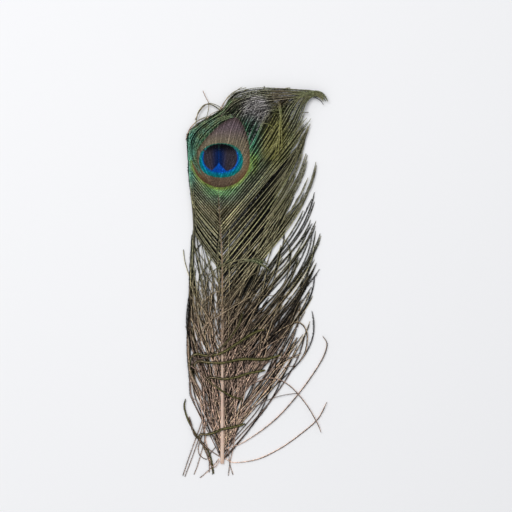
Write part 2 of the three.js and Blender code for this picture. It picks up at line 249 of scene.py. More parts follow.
EDGE_STRAYS = [
    [(-14, 60, 1.6), (-13, 40, 1.5), (-12.4, 21.9, 1.2), (-12.2, 12, 1), (-8.8, 2.4, 0.8),
     (-6.4, -7.1, 0.6)],
    [(-10, 34, 1.4), (-13.6, 22, 1.2), (-17, 12, 1), (-15.8, 6, 0.9), (-11, 3.4, 0.8),
     (-8.4, 8, 0.9), (-5, 12, 1)],
    [(-16, 50, 1.6), (-14.6, 34, 1.4), (-12, 18, 1.2), (-9.4, 6, 1), (-9, -6, 0.6)],
    [(5, 26, 1.5), (4.6, 12, 1.3), (5.6, 0, 1), (8, -8, 0.6)],
    [(10, 30, 1.5), (8.4, 14, 1.2), (6, 2, 1), (4.6, -8.6, 0.6)],
    [(-12.6, 35.4, 1.1), (-17.6, 21.6, 1), (-23.6, 4.8, 0.8), (-28, -8.6, 0.6)],
    [(-12.2, 32, 1.4), (-16.6, 18.4, 1.2), (-21.6, 4, 0.9), (-26.6, -9.4, 0.6)],
    [(-11.4, 20.4, 1), (-14.6, 9, 0.9), (-17.6, -1.4, 0.7), (-20, -7.8, 0.5)],
    [(-2, 3.6, 0.7), (-7, -2.6, 0.6), (-15.6, -10.4, 0.6)],
    [(-17.4, 122.5, 2.2), (-11, 130, 2.6), (-5.4, 139.5, 2.4)],
    [(-14.6, 112, 2.2), (-8.6, 118.4, 2.6), (-3.6, 127, 2.4)],
    [(-18.6, 131.5, 2.2), (-12.4, 123.6, 2.6), (-5.4, 111, 2.4)],
    [(-17, 122, 1.6), (-21.7, 129.9, 1.4), (-24.4, 136.4, 1.2), (-27, 145, 1), (-28.2, 153.6, 1)],
]

# What the camera sees of the floor, and the light over it.
FIELD = 368.64  # side of the square that fills the frame
FIELD_MIDDLE = (24.3, 149.3)
LENS = 100.0
SENSOR = 36.0
FLOOR_GAP = 0.05  # how far it is under the feather
FLOOR_SIZE = 6.0  # in metres, as are the next two
LAMP_OFFSET = (-0.5, 0.5, 1.5)  # from the middle of the field
LAMP_SIZE = 1.0
LAMP_WATTS = 14.0
SKY_STRENGTH = 0.6

_shaft_low, _shaft_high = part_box("shaft")
FOOT = (_shaft_high[0] - SHAFT_FOOT[0] / 2 * MM, _shaft_low[1])  # the cut foot in the frame


def tint(red, green, blue):
    """A colour on a screen's 0 to 255 scale, as the linear values that a shader takes."""
    shares = (value / 255 for value in (red, green, blue))
    return tuple(s / 12.92 if s <= 0.04045 else ((s + 0.055) / 1.055) ** 2.4 for s in shares)


# ------------------------------------------------------------------ finer tones

PUPIL_SHADE = tint(8, 10, 20)  # the pupil under its upper edge
NICK_BROWN = tint(86, 76, 66)  # the oval's brown in the nick
OVAL_TOP = tint(70, 62, 60)
OVAL_RIM = tint(60, 40, 24)
RUST = tint(140, 98, 56)  # low on both sides of the oval
RING_GREEN = tint(78, 146, 104)
RING_SHADE = tint(58, 66, 50)
RING_BROWN = tint(78, 72, 66)
LEAF_GREY = tint(136, 156, 130)
BESIDE_OLIVE = tint(80, 86, 64)  # beside the lower rings
EYE_RIB = tint(44, 36, 34)  # ribs in the upper part of the eye, partly their own dark brown, partly painted shade
WEB_RIB = tint(30, 26, 20)  # ribs under the web, partly their own dark brown, partly painted shade under it
CROWN_GREEN = tint(68, 108, 64)
CROWN_OCHRE = tint(118, 108, 54)  # right side of the crown
CROWN_RIB = tint(178, 176, 150)
REVERSE_GREY = tint(196, 190, 194)
FOLDED_TEAL = tint(62, 142, 124)
FOLDED_GREEN = tint(80, 126, 88)
MIDDLE_RIB = tint(128, 112, 84)  # ribs halfway down the feather
OLIVE_RIB = tint(124, 130, 72)  # the vane's lightest ribs
STRAY_OLIVE = tint(88, 86, 52)
STRAY_RIB = tint(150, 142, 92)
EDGE_TEAL = tint(98, 168, 148)  # the pressed left edge beside the eye
HORN_TIP = tint(84, 76, 52)
HORN_STREAK = tint(150, 112, 86)
HORN_BLUSH = tint(196, 156, 140)
PITH_SPECK = tint(214, 190, 160)

# Soft washes over the barbs: middle as for the eye, upward stretch, size of the full part and
# of the whole, strength and colour.
WASHES = (
    ((22.5, -2.0), 1.8, 2.0, 6.0, 0.6, tint(150, 176, 84)),  # yellow-green beside the oval
    ((-13.0, -62.0), 2.2, 8.0, 16.0, 0.35, tint(112, 116, 104)),  # grey in the left vane
    ((38.0, 16.0), 1.8, 5.0, 15.0, 0.5, tint(136, 130, 58)),  # olive right of the eye
    ((43.0, 46.0), 0.8, 4.0, 12.0, 0.55, tint(118, 100, 88)),  # brown at the crown's top
    ((20.5, 19.0), 1.5, 4.0, 12.0, 0.6, tint(74, 140, 118)),  # teal over the oval's right side
)


# ------------------------------------------------------------------ what a user would change

def length_property(name, millimetres, description):
    """A length that is shown in the scene's own unit."""
    return bpy.props.FloatProperty(
        name=name, default=millimetres * MM, min=0.0, unit="LENGTH", precision=5,
        description=description,
    )


def colour_property(name, default, description):
    """A colour with its picker."""
    return bpy.props.FloatVectorProperty(
        name=name, default=default, size=3, min=0.0, max=1.0, subtype="COLOR",
        description=description,
    )


class FeatherSizes(bpy.types.PropertyGroup):
    barb_pitch: length_property(
        "Barb pitch", 2.8, "Spacing along the shaft of the barbs below the eye")
    eye_pitch: length_property("Eye barb pitch", 1.15, "Spacing of the barbs across the eye")
    rib_width: length_property("Rib width", 0.52, "Width of a barb's rib at the shaft")
    barbule_pitch: length_property("Barbule pitch", 0.4, "Spacing of the barbules on a rib")
    barbule_length: length_property("Barbule length", 1.15, "Length of a loose barbule")
    barbule_width: length_property("Barbule width", 0.42, "Width of a loose barbule")
    web_length: length_property("Web barbule length", 1.5, "Length of a barbule in the eye")
    web_width: length_property("Web barbule width", 0.5, "Width of a barbule in the eye")
    loft: length_property("Loft", 1.5, "How high the loose barbs lie over each other")
    eye_lift: length_property("Eye lift", 2.2, "Height of the web's edge off the surface")
    eye_dome: length_property("Eye dome", 2.0, "How much higher the eye's middle stands")


class FeatherColours(bpy.types.PropertyGroup):
    horn: colour_property("Horn", tint(222, 196, 178), "Shaft at its cut foot")
    horn_tan: colour_property("Horn, upper", tint(150, 128, 100), "Shaft near the eye")
    pith: colour_property("Pith", tint(238, 226, 208), "Inside of the cut foot")
    rib: colour_property("Rib", tint(186, 178, 140), "Ribs of the vane's barbs")
    rib_low: colour_property("Lower rib", tint(214, 182, 162), "Ribs of the lowest barbs")
    herl: colour_property("Herl", tint(88, 82, 52), "Barbules of the vane")
    herl_low: colour_property("Lower herl", tint(36, 25, 18), "Barbules of the lowest barbs")
    olive: colour_property("Olive", tint(110, 112, 80), "Crown and the fuzzy stray barbs")
    leaf: colour_property("Leaf green", tint(146, 200, 138), "Ring round the eye")
    lime: colour_property("Lime", tint(138, 164, 78), "Fine ring next to the oval")
    teal: colour_property("Teal", tint(52, 124, 104), "Upper sides of the eye")
    turquoise: colour_property("Turquoise", tint(10, 136, 140), "Outer edge of the disc")
    azure: colour_property("Azure", tint(0, 136, 180), "Middle of the disc's ring")
    royal: colour_property("Royal blue", tint(8, 92, 204), "Ring next to the pupil")
    navy: colour_property("Navy", tint(10, 40, 94), "Middle of the pupil")
    lobe: colour_property("Pupil brown", tint(66, 60, 70), "Lobes of the pupil")
    bronze: colour_property("Bronze", tint(142, 130, 108), "Oval beside and over the disc")
    chocolate: colour_property("Chocolate", tint(118, 99, 82), "Oval under the disc")
    mauve: colour_property("Mauve", tint(120, 104, 110), "Upper part of the oval")


# ------------------------------------------------------------------ sums for surfaces

class Field:
    """A number that varies over a surface. Sums on it add Math nodes to its tree."""

    def __init__(self, tree, socket):
        self.tree = tree
        self.socket = socket

    def sum(self, operation, *others):
        node = self.tree.nodes.new("ShaderNodeMath")
        node.operation = operation
        for slot, value in zip(node.inputs, (self, *others)):
            if isinstance(value, Field):
                self.tree.links.new(value.socket, slot)
            else:
                slot.default_value = value
        return Field(self.tree, node.outputs[0])

    def __add__(self, other):
        return self.sum("ADD", other)

    def __sub__(self, other):
        return self.sum("SUBTRACT", other)

    def __rsub__(self, other):
        return self.sum("MULTIPLY", -1.0).sum("ADD", other)

    def __mul__(self, other):
        return self.sum("MULTIPLY", other)

    def __truediv__(self, other):
        return self.sum("DIVIDE", other)

    def __pow__(self, other):
        return self.sum("POWER", other)

    def __abs__(self):
        return self.sum("ABSOLUTE")

    __radd__ = __add__
    __rmul__ = __mul__


def at_least(value, limit):
    """The greater of the two, for a Field and for an array."""
    if isinstance(value, Field):
        return value.sum("MAXIMUM", limit)
    return np.maximum(value, limit)


def at_most(value, limit):
    """The lesser of the two, for a Field and for an array."""
    if isinstance(value, Field):
        return value.sum("MINIMUM", limit)
    return np.minimum(value, limit)


def rise(value, low, high):
    """0 below low, 1 above high and a smooth step between, for a Field and for an array."""
    share = at_most(at_least((value - low) / (high - low), 0.0), 1.0)
    return share * share * (3.0 - 2.0 * share)


def round_distance(x, y, form):
    """Distance from the middle of a squarish ellipse, 1 on its edge."""
    half_width, half_height, squareness = form
    across = (abs(x) / half_width) ** squareness
    up = (abs(y) / half_height) ** squareness
    return (across + up) ** (1.0 / squareness)


def oval_distance(x, y):
    """Distance from the middle of the bronze oval, 1 on its edge, with its upper point leaning."""
    above = at_least(y, 0.0) / OVAL_ABOVE
    below = at_most(y, 0.0) / OVAL_BELOW
    lean = above ** 1.25 * OVAL_LEAN
    across = abs(x - lean) / OVAL_HALF_WIDTH
    pointed = (across**1.45 + above**1.5) ** (1 / 1.45)
    rounded = (across * across + below * below) ** 0.5
    upper = rise(y, -5.0, 5.0)
    return rounded + (pointed - rounded) * upper


# ------------------------------------------------------------------ shader helpers

def fill(tree, socket, value):
    """Links a Field or an output to a colour socket, or sets it to a plain colour."""
    if isinstance(value, Field):
        tree.links.new(value.socket, socket)
    elif isinstance(value, bpy.types.NodeSocket):
        tree.links.new(value, socket)
    else:
        value = tuple(value)
        socket.default_value = value if len(value) == 4 else (*value, 1.0)


def mixed(tree, share, first, second, blend="MIX"):
    """One colour turning into another by a share of 0 to 1."""
    node = tree.nodes.new("ShaderNodeMix")
    node.data_type = "RGBA"
    node.blend_type = blend
    if isinstance(share, Field):
        tree.links.new(share.socket, node.inputs["Factor"])
    else:
        node.inputs["Factor"].default_value = share
    fill(tree, node.inputs["A"], first)
    fill(tree, node.inputs["B"], second)
    return node.outputs["Result"]


def layered(tree, colour, *layers):
    """A colour with others laid over it in turn, each by its own share of 0 to 1."""
    for share, over in layers:
        colour = mixed(tree, share, colour, over)
    return colour


def attribute(tree, name):
    """A value that the mesh holds at its vertices."""
    node = tree.nodes.new("ShaderNodeAttribute")
    node.attribute_name = name
    return Field(tree, node.outputs["Fac"])


def noise(tree, place, scale, detail=2.0, stretch=None):
    """A soft random Field about 0.5, on this place vector."""
    if stretch:
        mapping = tree.nodes.new("ShaderNodeMapping")
        mapping.inputs["Scale"].default_value = stretch
        tree.links.new(place, mapping.inputs["Vector"])
        place = mapping.outputs["Vector"]
    node = tree.nodes.new("ShaderNodeTexNoise")
    node.inputs["Scale"].default_value = scale
    node.inputs["Detail"].default_value = detail
    tree.links.new(place, node.inputs["Vector"])
    return Field(tree, node.outputs["Fac"])


def across_and_up(tree, place):
    """The first two coordinates of a place vector, as Fields."""
    split = tree.nodes.new("ShaderNodeSeparateXYZ")
    tree.links.new(place, split.inputs[0])
    return Field(tree, split.outputs[0]), Field(tree, split.outputs[1])


def bumped(tree, shader, height, strength, depth):
    """Gives a shader bumps of up to this depth in millimetres."""
    bump = tree.nodes.new("ShaderNodeBump")
    bump.inputs["Strength"].default_value = strength
    bump.inputs["Distance"].default_value = depth * MM
    tree.links.new(height.socket, bump.inputs["Height"])
    tree.links.new(bump.outputs["Normal"], shader.inputs["Normal"])


def spot(x, y, place, stretch, inner, outer):
    """One inside a spot about this place, stretched upwards, fading to none at its edge."""
    across = x - place[0]
    up = (y - place[1]) / stretch
    return 1.0 - rise((across * across + up * up) ** 0.5, inner, outer)


def new_group(name, inputs, outputs):
    """An empty shader node group with these sockets, and its two end nodes."""
    tree = bpy.data.node_groups.new(name, "ShaderNodeTree")
    for in_out, sockets in (("INPUT", inputs), ("OUTPUT", outputs)):
        for socket_name, kind in sockets:
            tree.interface.new_socket(socket_name, in_out=in_out, socket_type=kind)
    return tree, tree.nodes.new("NodeGroupInput"), tree.nodes.new("NodeGroupOutput")


def placed_group(tree, group_name):
    """A node in this tree that holds the group."""
    node = tree.nodes.new("ShaderNodeGroup")
    node.node_tree = bpy.data.node_groups[group_name]
    return node


def new_material(name):
    """A material with its node tree and its shader."""
    material = bpy.data.materials.new(name)
    material.use_nodes = True
    tree = material.node_tree
    return material, tree, tree.nodes["Principled BSDF"]


# ------------------------------------------------------------------ the feather's colours

def disc_colours(tree, x, y, disc, colours):
    """The pupil with its notch, in the turquoise disc with the nick in its edge."""
    pupil_distance = round_distance(x - PUPIL_PLACE[0], y - PUPIL_PLACE[1], PUPIL)
    from_middle = abs(x - NOTCH_TIP[0])
    notch_depth = at_least(NOTCH_TIP[1] - y, 0.0) ** NOTCH_FLARE
    in_notch = rise(notch_depth * NOTCH_SPREAD - from_middle, -0.4, 0.7)
    in_pupil = (1.0 - rise(pupil_distance, 0.96, 1.04)) * (1.0 - in_notch)
    pupil = layered(
        tree, colours.navy,
        (rise(from_middle, 1.0, 6.5), colours.lobe),
        (rise(y, 3.5, 10.0), PUPIL_SHADE),
    )
    past_pupil = at_least(pupil_distance - 1.0, 0.0)
    to_edge = at_least(1.0 - disc, 0.0) * 1.3
    ring_share = past_pupil / (past_pupil + to_edge + 0.001)
    ring = layered(
        tree, colours.royal,
        (rise(ring_share, 0.0, 0.35), colours.azure),
        (rise(ring_share, 0.25, 0.75), colours.turquoise),
        (rise(ring_share, 0.85, 1.0), colours.teal),
        (rise(y, 4.0, 10.0), colours.teal),
    )
    off_nick = abs(y - NICK[1] + (x - NICK[0]) * 0.7)
    in_nick = (1.0 - rise(off_nick, 0.3, 0.9)) * rise(NICK[0] + 1.6 - x, 0.0, 0.8)
    return layered(tree, ring, (in_pupil, pupil), (in_nick, NICK_BROWN))


def oval_colours(tree, x, y, oval, colours):
    """The oval round the disc: brown under it, bronze beside it and mauve over it."""
    rust = rise(oval, 0.74, 0.9) * (1.0 - rise(y, -6.0, 14.0)) * rise(abs(x), 5.0, 14.0)
    return layered(
        tree, colours.chocolate,
        (rise(y, -15.0, -4.0), colours.bronze),
        (rise(y, 11.0, 25.0), colours.mauve),
        (rise(y, 24.0, 36.0) * 0.5, OVAL_TOP),
        (rise(oval, 0.84, 0.97) * 0.45, OVAL_RIM),
        (rust * 0.45, RUST),
    )


def surround_colours(tree, x, y, oval, colours):
    """The rings next to the oval, green over it and lime under it, and the herl below."""
    upper = layered(
        tree, RING_GREEN,
        (rise(y, 8.0, 30.0), RING_SHADE),
        (rise(oval, 1.1, 1.5), colours.olive),
        (rise(y, 22.0, 44.0) * 0.5, RING_BROWN),
    )
    beside = rise(abs(x), 7.0, 18.0) * rise(oval, 1.07, 1.2)
    lower = layered(
        tree, colours.lime,
        (rise(oval, 1.03, 1.16), colours.leaf),
        (rise(oval, 1.2, 1.45), LEAF_GREY),
        (rise(oval, 1.4, 1.9), colours.herl),
        (beside * 0.85, BESIDE_OLIVE),
    )
    return layered(
        tree, upper,
        (1.0 - rise(y, -8.0, 12.0), lower),
        (rise(0.0 - y, 50.0, 115.0), colours.herl_low),
    )


def eye_colours_group(colours):
    """Colours by place: the eye inside its oval, the rings and the herl outside it."""
    tree, inputs, outputs = new_group(
        "eye_colours",
        [("Place", "NodeSocketVector"), ("Wander", "NodeSocketFloat")],
        [("Eye", "NodeSocketColor"), ("Surround", "NodeSocketColor"),
         ("Inside", "NodeSocketFloat")],
    )
    x, height = across_and_up(tree, inputs.outputs["Place"])
    y = height + Field(tree, inputs.outputs["Wander"])
    disc = round_distance(x, y, DISC)
    oval = oval_distance(x, y)
    in_disc = disc_colours(tree, x, y, disc, colours)
    in_oval = oval_colours(tree, x, y, oval, colours)
    eye = mixed(tree, rise(disc, 0.985, 1.02), in_disc, in_oval)
    surround = surround_colours(tree, x, y, oval, colours)
    inside = 1.0 - rise(oval, 0.975, 1.01)
    tree.links.new(mixed(tree, inside, surround, eye), outputs.inputs["Eye"])
    tree.links.new(surround, outputs.inputs["Surround"])
    tree.links.new(inside.socket, outputs.inputs["Inside"])


def barb_finish_group():
    """Turns barbule and rib colours into a barb's finish by its tone and parts, with painted shade
    and glints.
    """
    tree, inputs, outputs = new_group(
        "barb_finish",
        [("Barbules", "NodeSocketColor"), ("Rib", "NodeSocketColor"),
         ("Dark", "NodeSocketFloat"), ("Light", "NodeSocketFloat"),
         ("Shaded fringe", "NodeSocketFloat"), ("Glints", "NodeSocketFloat"),
         ("Shade", "NodeSocketFloat")],
        [("Colour", "NodeSocketColor"), ("Roughness", "NodeSocketFloat")],
    )
    dark, light, shaded_fringe, glints, shade = (
        Field(tree, inputs.outputs[name])
        for name in ("Dark", "Light", "Shaded fringe", "Glints", "Shade"))
    tone = attribute(tree, "tone")
    rib = attribute(tree, "rib")
    # painted shade: each barbule darkens towards its tip, where the barbs overlap
    strength = (dark + (light - dark) * tone) * (1.0 - attribute(tree, "fringe") * shaded_fringe)
    # painted glints: a noise lights and darkens the barbs in beads, as barbules catching the light
    strength = strength * (0.45 + rise(glints, 0.36, 0.64) * 1.1)
    strength = strength * (shade + (1.0 - shade) * rib)
    grey = tree.nodes.new("ShaderNodeCombineColor")
    for channel in grey.inputs[:3]:
        tree.links.new(strength.socket, channel)
    herl = mixed(tree, 1.0, inputs.outputs["Barbules"], grey.outputs[0], "MULTIPLY")
    ribs = mixed(tree, 1.0, inputs.outputs["Rib"], grey.outputs[0], "MULTIPLY")
    tree.links.new(mixed(tree, rib, herl, ribs), outputs.inputs["Colour"])
    tree.links.new((0.52 - rib * 0.08 + tone * 0.06).socket, outputs.inputs["Roughness"])


def eye_place(tree):
    """The place on the surface in millimetres about the eye's middle."""
    coordinates = tree.nodes.new("ShaderNodeTexCoord")
    mapping = tree.nodes.new("ShaderNodeMapping")
    middle = (FOOT[0] + EYE_PLACE[0] * MM, FOOT[1] + EYE_PLACE[1] * MM)
    mapping.inputs["Location"].default_value = (-middle[0] / MM, -middle[1] / MM, 0.0)
    mapping.inputs["Scale"].default_value = (1 / MM, 1 / MM, 1 / MM)
    tree.links.new(coordinates.outputs["Object"], mapping.inputs["Vector"])
    return mapping.outputs["Vector"]


class BarbSurface:
    """What a barb's colours go by: its tone, the share along it and its place by the eye."""

    def __init__(self, tree):
        self.tree = tree
        self.place = eye_place(tree)
        self.x, self.height = across_and_up(tree, self.place)
        self.tone = attribute(tree, "tone")
        self.along = attribute(tree, "along")
        self.blotch = noise(tree, self.place, 0.16)
        by_place = placed_group(tree, "eye_colours")
        tree.links.new(self.place, by_place.inputs["Place"])
        tree.links.new(((self.tone - 0.5) * WANDER).socket, by_place.inputs["Wander"])
        self.inside = Field(tree, by_place.outputs["Inside"])
        self.surround = by_place.outputs["Surround"]
        self.eye = by_place.outputs["Eye"]


def eye_barbs(at, colours):
    """Barbule and rib colours of the web, its upper ribs darker: partly own brown, partly painted
    shade.
    """
    return at.eye, mixed(at.tree, rise(at.height, 6.0, 18.0) * 0.5, at.eye, EYE_RIB)


def crown_barbs(at, colours):
    """Those of the crown, which turns its grey reverse side up in one patch."""
    greens = layered(
        at.tree, CROWN_GREEN,
        (rise(at.blotch, 0.42, 0.62), colours.olive),
        (rise(at.x, 24.0, 42.0) * 0.55, CROWN_OCHRE),
    )
    patch = spot(at.x, at.height, REVERSE_PATCH, 1.0, 6.0, 14.0)
    barbules = layered(
        at.tree, at.eye,
        (rise(at.along, 0.3, 0.7) * 0.8, greens),
        (patch * 0.85 * (1.0 - at.inside), REVERSE_GREY),
    )
    # ribs inside the eye darker, partly their own dark brown, partly painted shade under the web
    in_web = mixed(at.tree, 0.4, at.eye, WEB_RIB)
    ribs = layered(
        at.tree, barbules,
        (rise(at.along, 0.05, 0.3) * 0.42, CROWN_RIB),
        (rise(0.0 - at.height, 24.0, 38.0) * 0.75, colours.rib),
        (at.inside, in_web),
    )
    return barbules, ribs


def folded_over_barbs(at, colours):
    """Those of the barbs folded over the eye."""
    barbules = layered(
        at.tree, FOLDED_TEAL,
        (rise(at.blotch, 0.35, 0.65), FOLDED_GREEN),
        (rise(at.height, 18.0, 34.0) * 0.4, colours.herl),
    )
    return barbules, mixed(at.tree, 0.3, barbules, colours.rib)


def vane_barbs(at, colours):
    """Those of the barbs below the eye, paler and browner towards the foot."""
    barbules = layered(
        at.tree, at.surround,
        (rise(at.along, 0.55, 1.0) * 0.35, colours.olive),
        (rise(at.blotch, 0.4, 0.7) * 0.35, colours.herl_low),
    )
    middle = rise(at.height, -150.0, -124.0) * (1.0 - rise(at.height, -100.0, -70.0))
    ribs = layered(
        at.tree, colours.rib_low,
        (rise(at.height, -145.0, -62.0), colours.rib),
        (middle * 0.4, MIDDLE_RIB),
        (rise(at.height, -60.0, -20.0) * 0.4, at.surround),
        (rise(at.tone, 0.75, 1.0) * 0.3, OLIVE_RIB),
    )
    return barbules, ribs


def lone_barbs(at, colours):
    """Those of the stray barbs, which turn olive towards their tips."""
    barbules = mixed(at.tree, rise(at.along, 0.1, 0.5), colours.herl_low, STRAY_OLIVE)
    return barbules, mixed(at.tree, rise(at.along, 0.2, 0.7), colours.rib_low, STRAY_RIB)


def washed(at, barbules, ribs):
    """Barbule and rib colours with the soft washes over them, outside the eye."""
    left_edge = rise(0.0 - at.x, 16.0, 21.0) * (1.0 - rise(abs(at.height - 2.0), 13.0, 27.0))
    shares = [(left_edge * 0.7, EDGE_TEAL)]
    for *form, strength, colour in WASHES:
        shares.append((spot(at.x, at.height, *form) * strength, colour))
    layers = [(share * (1.0 - at.inside), colour) for share, colour in shares]
    return layered(at.tree, barbules, *layers), layered(at.tree, ribs, *layers)


# Each kind's colours and whether it is washed. Then how dark its darkest and how light its
# lightest barbs are, how much its fringe is shaded and how light it is beside its ribs.
BARB_KINDS = {
    "eye": (eye_barbs, False, 0.62, 1.25, 0.25, 1.0),
    "crown": (crown_barbs, True, 0.1, 1.9, 0.6, 0.5),
    "folded": (folded_over_barbs, True, 0.04, 1.6, 0.7, 0.4),
    "vane": (vane_barbs, True, 0.03, 2.05, 0.8, 0.22),
    "stray": (lone_barbs, False, 0.4, 1.15, 0.6, 0.7),
}


def barb_material(kind, colours):
    """The finish of one of the kinds of barb, with painted glints and a fine grain."""
    material, tree, shader = new_material(f"{kind}_finish")
    at = BarbSurface(tree)
    kind_colours, is_washed, *levels = BARB_KINDS[kind]
    barbules, ribs = kind_colours(at, colours)
    if is_washed:
        barbules, ribs = washed(at, barbules, ribs)
    finish = placed_group(tree, "barb_finish")
    fill(tree, finish.inputs["Barbules"], barbules)
    fill(tree, finish.inputs["Rib"], ribs)
    for level, value in zip(("Dark", "Light", "Shaded fringe", "Shade"), levels):
        finish.inputs[level].default_value = value
    # painted glints, fainter in the eye
    glints = noise(tree, at.place, 1.1)
    if kind == "eye":
        glints = 0.5 + (glints - 0.5) * EYE_GLINTS
    tree.links.new(glints.socket, finish.inputs["Glints"])
    tree.links.new(finish.outputs["Colour"], shader.inputs["Base Color"])
    tree.links.new(finish.outputs["Roughness"], shader.inputs["Roughness"])
    if kind in ("eye", "crown"):
        tree.links.new((at.inside * EYE_METAL).socket, shader.inputs["Metallic"])
    bumped(tree, shader, noise(tree, at.place, 9.0, 1.0), 0.25, 0.05)
    shader.inputs["Specular IOR Level"].default_value = 0.08
    return material


def horn_material(colours):
    """Pale, faintly streaked horn that turns tan up the shaft."""
    material, tree, shader = new_material("horn_finish")
    place = eye_place(tree)
    height = across_and_up(tree, place)[1] + EYE_PLACE[1]
    streaks = noise(tree, place, 1.0, 3.0, stretch=(3.2, 0.09, 3.2))
    horn = layered(
        tree, colours.horn,
        (rise(height, 40.0, 130.0), colours.horn_tan),
        (rise(height, 130.0, 185.0), HORN_TIP),
        (rise(streaks, 0.45, 0.75) * 0.5, HORN_STREAK),
        (rise(noise(tree, place, 0.25), 0.5, 0.75) * 0.3, HORN_BLUSH),
    )
    tree.links.new(horn, shader.inputs["Base Color"])
    tree.links.new((0.34 + streaks * 0.25).socket, shader.inputs["Roughness"])
    bumped(tree, shader, streaks, 0.4, 0.06)
    shader.inputs["Subsurface Weight"].default_value = 0.15
    shader.inputs["Subsurface Radius"].default_value = (0.8 * MM, 0.5 * MM, 0.3 * MM)
    return material


def pith_material(colours):
    """Speckled pith, for the hollow in the cut foot."""
    material, tree, shader = new_material("pith_finish")
    speckle = noise(tree, eye_place(tree), 2.5)
    pith = mixed(tree, rise(speckle, 0.4, 0.7), colours.pith, PITH_SPECK)
    tree.links.new(pith, shader.inputs["Base Color"])
    shader.inputs["Roughness"].default_value = 0.8
    return material


# ------------------------------------------------------------------ barbs as arrays

def shaft_x(y):
    """How far the shaft's middle lies from its foot's, sideways, at this height."""
    return SHAFT_LEAN * rise(np.asarray(y, float), *LEAN_SPAN)


def shaft_size(y):
    """Width and height of the shaft at this height above its foot."""
    thinned = 1 - (1 - np.clip(np.asarray(y, float) / SHAFT_LENGTH, 0, 1)) ** SHAFT_TAPER
    return tuple(foot + (point - foot) * thinned for foot, point in zip(SHAFT_FOOT, SHAFT_POINT))


def blend_rows(rows, roots):
    """The columns of the rows at these root heights, on smooth curves through the rows."""
    at = rows[:, 0]
    slopes = np.gradient(rows[:, 1:], at, axis=0)
    below = np.clip(np.searchsorted(at, roots) - 1, 0, len(at) - 2)
    step = (at[below + 1] - at[below])[:, None]
    t = np.clip((roots - at[below])[:, None] / step, 0, 1)
    start, end = rows[below, 1:], rows[below + 1, 1:]
    blended = (2 * t**3 - 3 * t**2 + 1) * start + (3 * t**2 - 2 * t**3) * end
    leaving = (t**3 - 2 * t**2 + t) * step * slopes[below]
    arriving = (t**3 - t**2) * step * slopes[below + 1]
    return blended + leaving + arriving


def heading(side, degrees):
    """The direction at this angle off the shaft, on this side of it."""
    angle = np.radians(degrees)
    return np.stack([side * np.sin(angle), np.cos(angle)], -1)


def clumped(roots, draw, size):
    """Which clump each barb sticks to, for about this many barbs in a clump."""
    return np.cumsum(draw.random(len(roots)) < 1 / size)


def barb_curves(side, roots, draw, clumps=None, pull=0.8, inset=0.8, clear=0.0, **habit):
    """Flat curves of one side's barbs, those of a clump drawn together towards their tips.

    They stay inset from the walls, and clear of the shaft's side by this much past their roots.
    """
    if clumps is None:
        clumps = np.arange(len(roots))
    first, at = np.unique(clumps, return_inverse=True)
    middles = np.bincount(at, roots) / np.bincount(at)
    seed = int(draw.integers(1 << 30))
    own = free_curves(side, roots, at, len(first), seed, **habit)
    shared = free_curves(side, middles[at], at, len(first), seed, **habit)
    share = pull * rise(np.linspace(0, 1, own.shape[1]), 0.12, 0.7)[:, None]
    flat = own * (1 - share) + shared * share
    if clear:
        away = side * (flat[..., 0] - shaft_x(flat[..., 1]))
        free = shaft_size(flat[..., 1])[0] / 2 + clear * draw.uniform(0.3, 2.0, (len(flat), 1))
        free = free * np.clip(np.linspace(0, 12, flat.shape[1]), 0, 1)
        flat[..., 0] += side * np.maximum(free - away, 0)
    return pressed(flat, draw, inset)


def pressed(flat, draw, inset=0.8):
    """Holds curves inside the two walls, bunching up those that would pass them."""
    x, y = flat[..., 0], flat[..., 1]
    place = draw.normal(inset, 0.9, (len(flat), 1))
    past = np.maximum(np.interp(y, *np.transpose(LEFT_WALL)) + place - x, 0)
    x = x + past - past / (1 + past / WALL_GIVE)
    past = np.maximum(y - np.interp(x, *np.transpose(CROWN_WALL)) + place, 0)
    y = y - past + past / (1 + past / WALL_GIVE)
    return np.stack([x, y], -1)


def free_curves(side, roots, at, groups, seed, points=64, spread=2.0, turn=1.5, sway=1.0,
                reach=(0.85, 1.0), steep=(1.0, 1.0)):
    """Flat curves from root to tip. Barbs of a group leave the rows' course nearly alike."""
    draw = np.random.default_rng(seed)
    roots = np.asarray(roots, float)
    rows = blend_rows(RIGHT_ROWS if side > 0 else LEFT_ROWS, roots)
    count = len(roots)

    def stray(size, *shape):
        shared = np.clip(draw.normal(0, size, (groups, *shape)), -1.6 * size, 1.6 * size)[at]
        return shared + draw.normal(0, size * 0.3, (count, *shape))

    narrow = draw.uniform(*steep, groups)[at]
    leave = rows[:, 0] * (0.3 + 0.7 * narrow) + stray(turn)
    tip = rows[:, 1:3] * np.stack([narrow, np.ones(count)], 1) + stray(spread, 2) * (0.5, 1.0)
    arrive = rows[:, 3] * narrow + stray(turn * 2.5)
    root = np.stack([shaft_x(roots) + side * 0.3 * shaft_size(roots)[0], roots], -1)
    chord = np.linalg.norm(tip - root, axis=1)[:, None]
    handles = (
        root,
        root + heading(side, leave) * rows[:, 4:5] * chord,
        tip - heading(side, arrive) * rows[:, 5:6] * chord,
        tip,
    )
    last = draw.uniform(*reach, groups)[at][:, None] * draw.uniform(0.96, 1.0, (count, 1))
    t = (np.linspace(0, 1, points) * last)[..., None]
    weights = ((1 - t) ** 3, 3 * (1 - t) ** 2 * t, 3 * (1 - t) * t**2, t**3)
    flat = sum(weight * handle[:, None] for weight, handle in zip(weights, handles))

    # a wave across each curve, alike within a group
    along = np.gradient(flat, axis=1)
    along /= np.linalg.norm(along, axis=2, keepdims=True)
    across = np.stack([along[..., 1], -along[..., 0]], -1)
    turns = draw.uniform(0.7, 1.9, groups)[at][:, None]
    phase = draw.uniform(0, 2 * np.pi, groups)[at][:, None]
    size = stray(sway, 1)
    t = t[..., 0]
    wave = size * t**1.5 * (np.sin(2 * np.pi * turns * t + phase) - np.sin(phase))
    return flat + across * wave[..., None]


